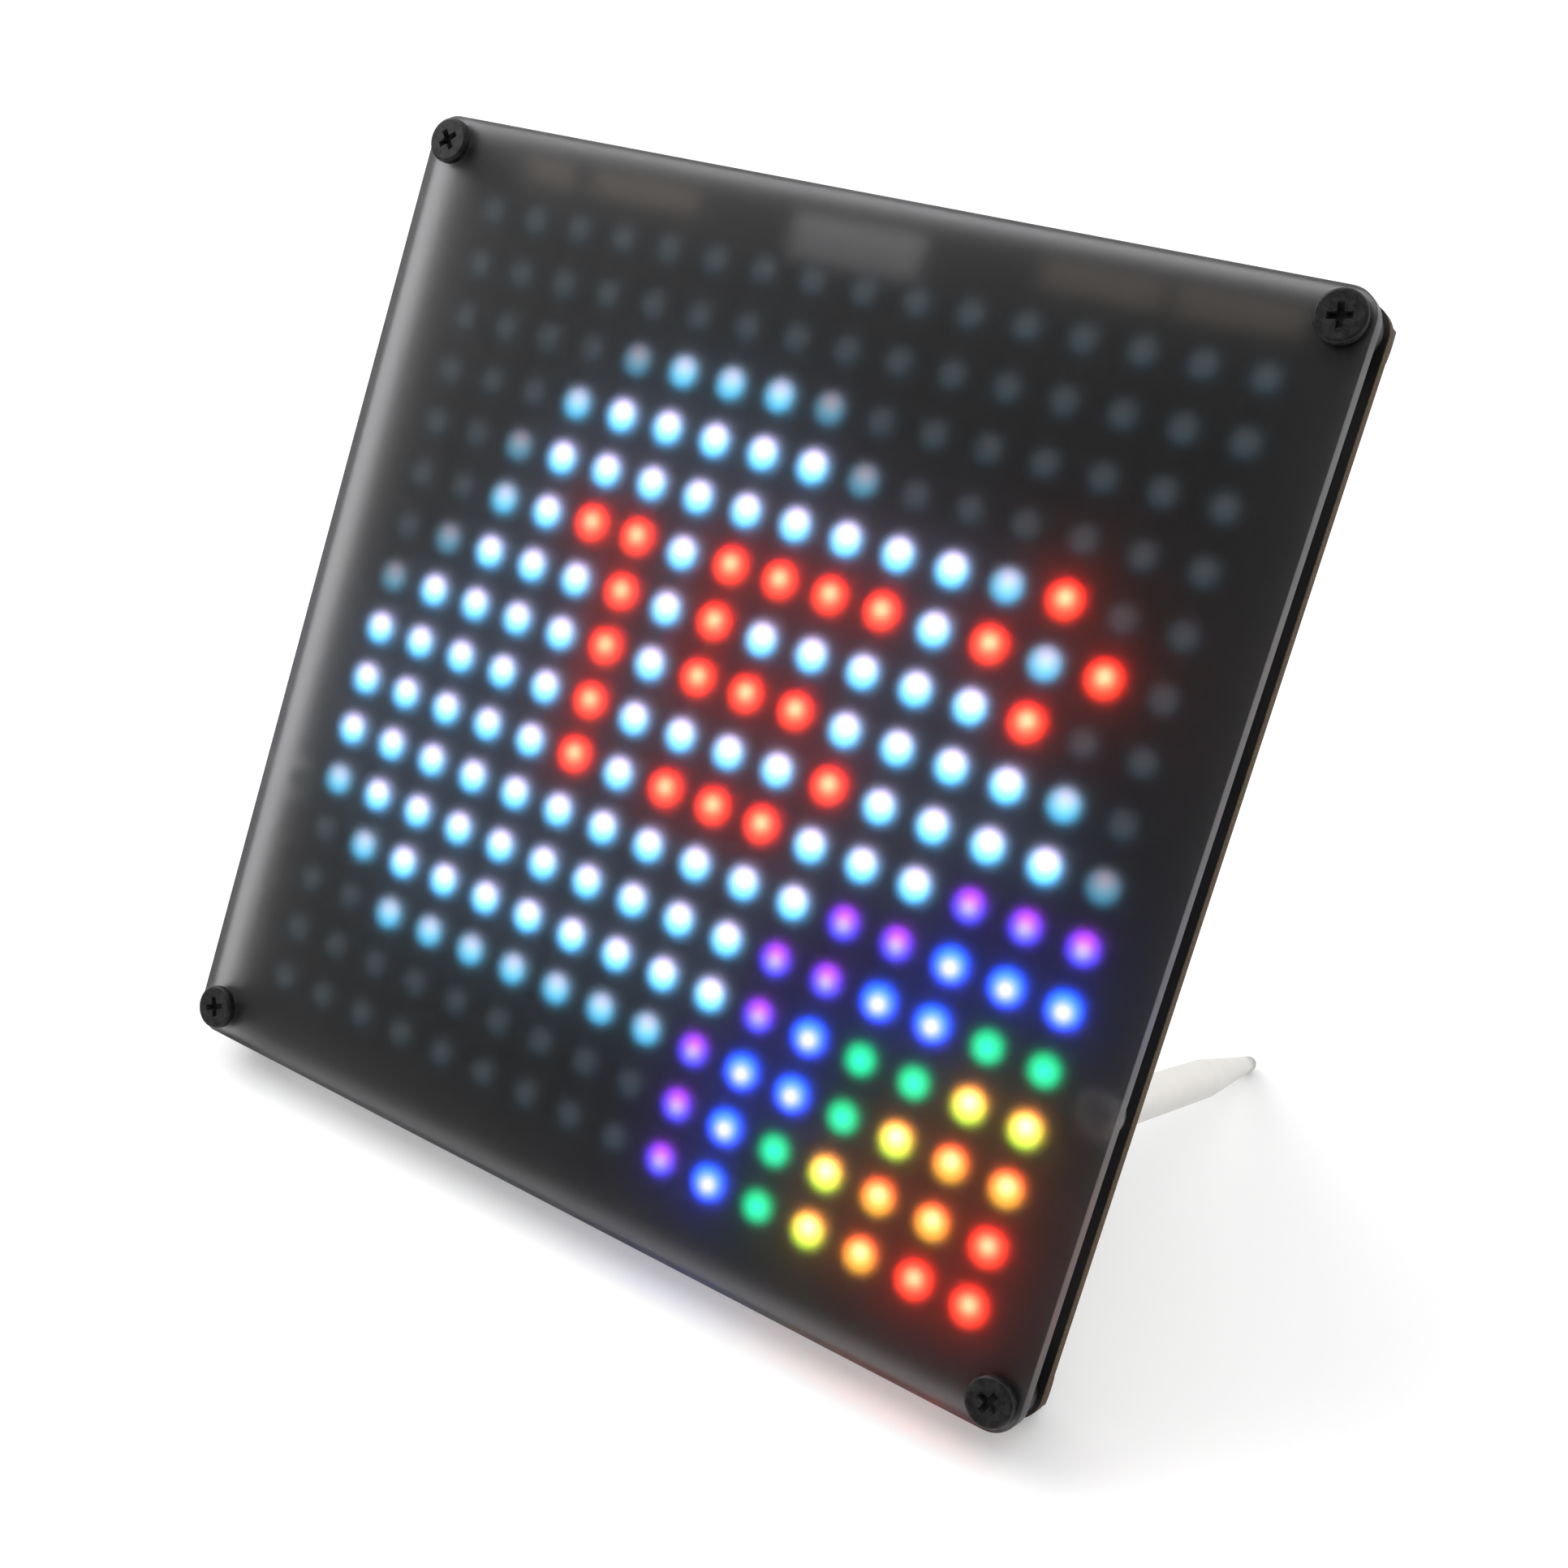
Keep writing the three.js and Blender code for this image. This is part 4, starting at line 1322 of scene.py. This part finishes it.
def usb_socket():
    """A drawn tin shell round a black tongue with gold contacts."""
    low, high = place("usb_socket")
    centre = middle("usb_socket")
    model = Model()
    back = open_box(model, low, high, 0.3, 0.7, "y", 1, 0.7, TIN)
    tongue_end = high.y - 0.8
    tongue_low = (centre.x - 1.9, back - 0.1, centre.z - 0.3)
    model.block(tongue_low, (centre.x + 1.9, tongue_end, centre.z + 0.3), SWITCH_BLACK, 0.08)
    for x in spread(centre.x, 5, 0.65):
        contact_low = (x - 0.16, back, centre.z - 0.34)
        model.block(contact_low, (x + 0.16, tongue_end - 0.2, centre.z - 0.28), GOLD, 0.02, 1)
    for x in (centre.x - 4.05, centre.x + 4.05):
        for y in (low.y + 1.0, low.y + 3.6):
            slab(model, (x, y), (0.45, 0.5), high.z - 0.3, high.z, TIN, 0.06, 2)
    even_shading(model.piece("usb_socket_shell", replaces=["usb_socket"]))


def pin_socket(node, name, mouth, count, pitch, pin, reach, wall):
    """A moulded socket with square pins and solder feet, its mouth towards the board's side edge."""
    low, high = place(node)
    centre = middle(node)
    model = Model()
    back = open_box(model, low, high, wall, 0.25, "x", mouth, 1.0, IVORY_MATTE)
    half = pin / 2
    pin_ends = sorted((back - mouth * 0.2, back + mouth * reach))
    rear = low.x if mouth > 0 else high.x
    for y in spread(centre.y, count, pitch):
        pin_low = (pin_ends[0], y - half, centre.z - half)
        model.block(pin_low, (pin_ends[1], y + half, centre.z + half), TIN, 0.08)
        slab(model, (rear - mouth * 0.4, y), (0.5, half), high.z - 0.25, high.z, TIN, 0.05)
    height = high.y - low.y
    for side in (-1, 1):
        y = centre.y + side * 0.25 * height
        rib_low = (low.x + 0.6, y - 0.3, low.z - 0.18)
        model.block(rib_low, (high.x - 0.6, y + 0.3, low.z + 0.02), IVORY_MATTE, 0.08)
        y = centre.y + side * (height / 2 + 0.225)
        slab(model, (centre.x, y), (0.9, 0.225), high.z - 0.3, high.z, TIN, 0.06)
    even_shading(model.piece(name, replaces=[node]))


# ---- speaker --------------------------------------------------------------------------------


def speaker():
    """An oval speaker: moulded frame, rubber surround, paper cone and dust cap."""
    low, high = place("speaker_frame")
    model = Model()
    rim, corner, sides = 2.2, 5.0, 10
    profile = [(0.1, high.z), (0.0, high.z - 0.1), (0.0, low.z + 1.1), (0.35, low.z + 0.9)]
    profile += [(0.35 + i, z) for i, z in quarter_round(0, low.z, 0.3, -1, 4)]
    profile += [(1.2, low.z), (1.3, low.z + 0.2), (1.6, low.z + 0.2), (1.7, low.z), (rim - 0.1, low.z)]
    profile += [(rim, low.z + 0.1), (rim, high.z - 0.35)]
    model.closed([model.loop(shrunk(low, high, corner, i, z, sides)) for i, z in profile], SWITCH_BLACK)
    even_shading(model.piece("speaker_basket", replaces=["speaker_frame"]))

    model = Model()
    centre = middle("speaker_frame")
    half_x, half_y = (high.x - low.x) / 2, (high.y - low.y) / 2
    seat = low.z + 1.5
    steps, thickness = 6, 0.22

    def oval(inset, z):
        x, y = half_x - inset, half_y - inset
        radius = min(y - 0.01, max(corner - inset, 0.0) + (inset - rim) * 1.9)
        flat = rounded((centre.x - x, centre.y - y), (centre.x + x, centre.y + y), radius, z, sides)
        return model.loop(flat)

    share = [i / steps for i in range(steps + 1)]
    roll = [(rim + 0.15 + 2.0 * s, seat - 0.75 * math.sin(math.pi * s)) for s in share]
    cone = [(rim + 2.15 + 3.0 * s, seat + 1.3 * s ** 0.8) for s in (0.25, 0.5, 0.75, 1.0)]
    bows = [math.sin(angle) for angle in (0.25, 0.5, 0.8, 1.1, math.pi / 2)]
    cap = [(7.4 + 2.3 * bow, seat + 1.3 - 0.9 * bow ** 0.6) for bow in bows]
    front = [*roll, *cone, *cap]
    rows = [oval(i, z) for i, z in front]
    rear = [oval(i, z + thickness) for i, z in front]
    rolled = len(roll)
    model.skin(rows[:rolled], RUBBER)
    model.skin(rows[rolled - 1:], CONE_PAPER)
    model.skin(list(reversed(rear)), CONE_PAPER)
    model.skin([rear[0], rows[0]], RUBBER)
    model.face(rows[-1], CONE_PAPER)
    model.face(rear[-1], CONE_PAPER)
    name = "speaker_cone_and_surround"
    even_shading(model.piece(name, replaces=["speaker_cone"]))


# ---- studio ---------------------------------------------------------------------------------

CAMERA_PLACE = Vector((99.9, 17.1, 167.3))  # in the panel's millimetres
CAMERA_AIM = Vector((11.746, -3.754, 0.0))
CAMERA_ROLL = -0.38  # degrees
CAMERA_LENS = 44.33
TABLE_RADIUS = 0.6
TABLE_GAP = 0.00002  # keeps the table top clear of the feet's lowest points


def camera():
    lens = bpy.data.cameras.new("studio_camera")
    lens.lens = CAMERA_LENS
    lens.sensor_width = 36.0
    lens.clip_start = 0.005
    lens.clip_end = 20.0
    view = bpy.data.objects.new("studio_camera", lens)
    bpy.context.scene.collection.objects.link(view)
    eye, aim = PANEL @ CAMERA_PLACE, PANEL @ CAMERA_AIM
    roll = Quaternion((0.0, 0.0, 1.0), math.radians(CAMERA_ROLL))
    view.rotation_mode = "QUATERNION"
    view.rotation_quaternion = (aim - eye).to_track_quat("-Z", "Y") @ roll
    view.location = eye
    bpy.context.scene.camera = view


def floor():
    """A wide white table top."""
    paint = new_paint("white_table")
    cloud = paint.noise(60.0, 2.0)
    finish = paint.finish(
        Base_Color=paint.mix(cloud, (0.86, 0.86, 0.86), (0.88, 0.88, 0.88)),
        Roughness=0.6 + 0.05 * cloud,
        Specular_IOR_Level=0.3,
        Emission_Color=(1.0, 1.0, 1.0),
        Emission_Strength=0.23,
    )
    mesh = bmesh.new()
    bmesh.ops.create_circle(mesh, cap_ends=True, segments=96, radius=TABLE_RADIUS)
    data = bpy.data.meshes.new("table_top")
    mesh.to_mesh(data)
    mesh.free()
    data.materials.append(finish)
    top = bpy.data.objects.new("table_top", data)
    top.location = (0.0, 0.0, cad_low.z - TABLE_GAP)
    bpy.context.scene.collection.objects.link(top)


def soft_light(name, size, strength, spot, aim):
    lamp = bpy.data.lights.new(name, "AREA")
    lamp.shape = "RECTANGLE"
    lamp.size, lamp.size_y = size
    lamp.energy = strength
    light = bpy.data.objects.new(name, lamp)
    light.location = spot
    light.rotation_euler = (Vector(aim) - Vector(spot)).to_track_quat("-Z", "Y").to_euler()
    bpy.context.scene.collection.objects.link(light)


def surroundings():
    """A white room that is darker in front of the display; the eye sees plain white behind everything."""
    world = bpy.data.worlds.new("white_room")
    bpy.context.scene.world = world
    paint = Paint(world)
    x, y, z = paint.parts(paint.node("ShaderNodeTexCoord", output="Generated"))
    behind = y.rise(-0.3, 0.4, 0.02, 1.3)
    left = (-x).rise(0.4, 0.95, 0.0, 3.2) * z.rise(0.1, 0.55)
    overhead = z.rise(0.6, 1.0, 0.02, 1.2)
    light = behind.most(left).most(overhead)
    seen = paint.node("ShaderNodeLightPath", output="Is Camera Ray")
    strength = light * (1 - seen) + 1.05 * seen
    background = paint.node("ShaderNodeBackground", {}, {"Color": (1.0, 1.0, 1.0), "Strength": strength})
    paint.node("ShaderNodeOutputWorld", {}, {"Surface": background})


# ---- making everything ----------------------------------------------------------------------

diffuser()
matrix_board()
for corner_name in CORNERS:
    corner_screw(corner_name)
    spacer(corner_name)
    hex_nut(corner_name)
    led_packages(corner_name)
led_lenses()
for side_name, side_sign in (("left", -1), ("right", 1)):
    leg(side_name, side_sign)
    leg_screw(side_name, side_sign)

front_markings()
light_sensor()
for switch_name in SWITCH_NAMES:
    switch(switch_name)
    plunger(switch_name)
for chip_number in DRIVERS:
    led_driver(chip_number)
flat_chip("processor_chip", "processor", 12)
flat_chip("amplifier_chip", "amplifier", 6)
small_parts()
board_back_details()
controller_board()
controller_pads()
radio_shield()
usb_socket()
pin_socket("battery_socket", "battery_plug_socket", -1, 2, 2.0, 0.6, 4.5, 0.7)
for socket_number in (1, 2):
    names = (f"sensor_socket_{socket_number}", f"sensor_plug_socket_{socket_number}")
    pin_socket(*names, 1, 4, 1.0, 0.35, 2.6, 0.55)
speaker()

camera()
floor()
surroundings()
soft_light("left_softbox", (0.8, 0.6), 4.6, (-0.75, -0.05, 0.75), (0.0, 0.0, 0.04))
bpy.context.scene.view_settings.view_transform = "Standard"
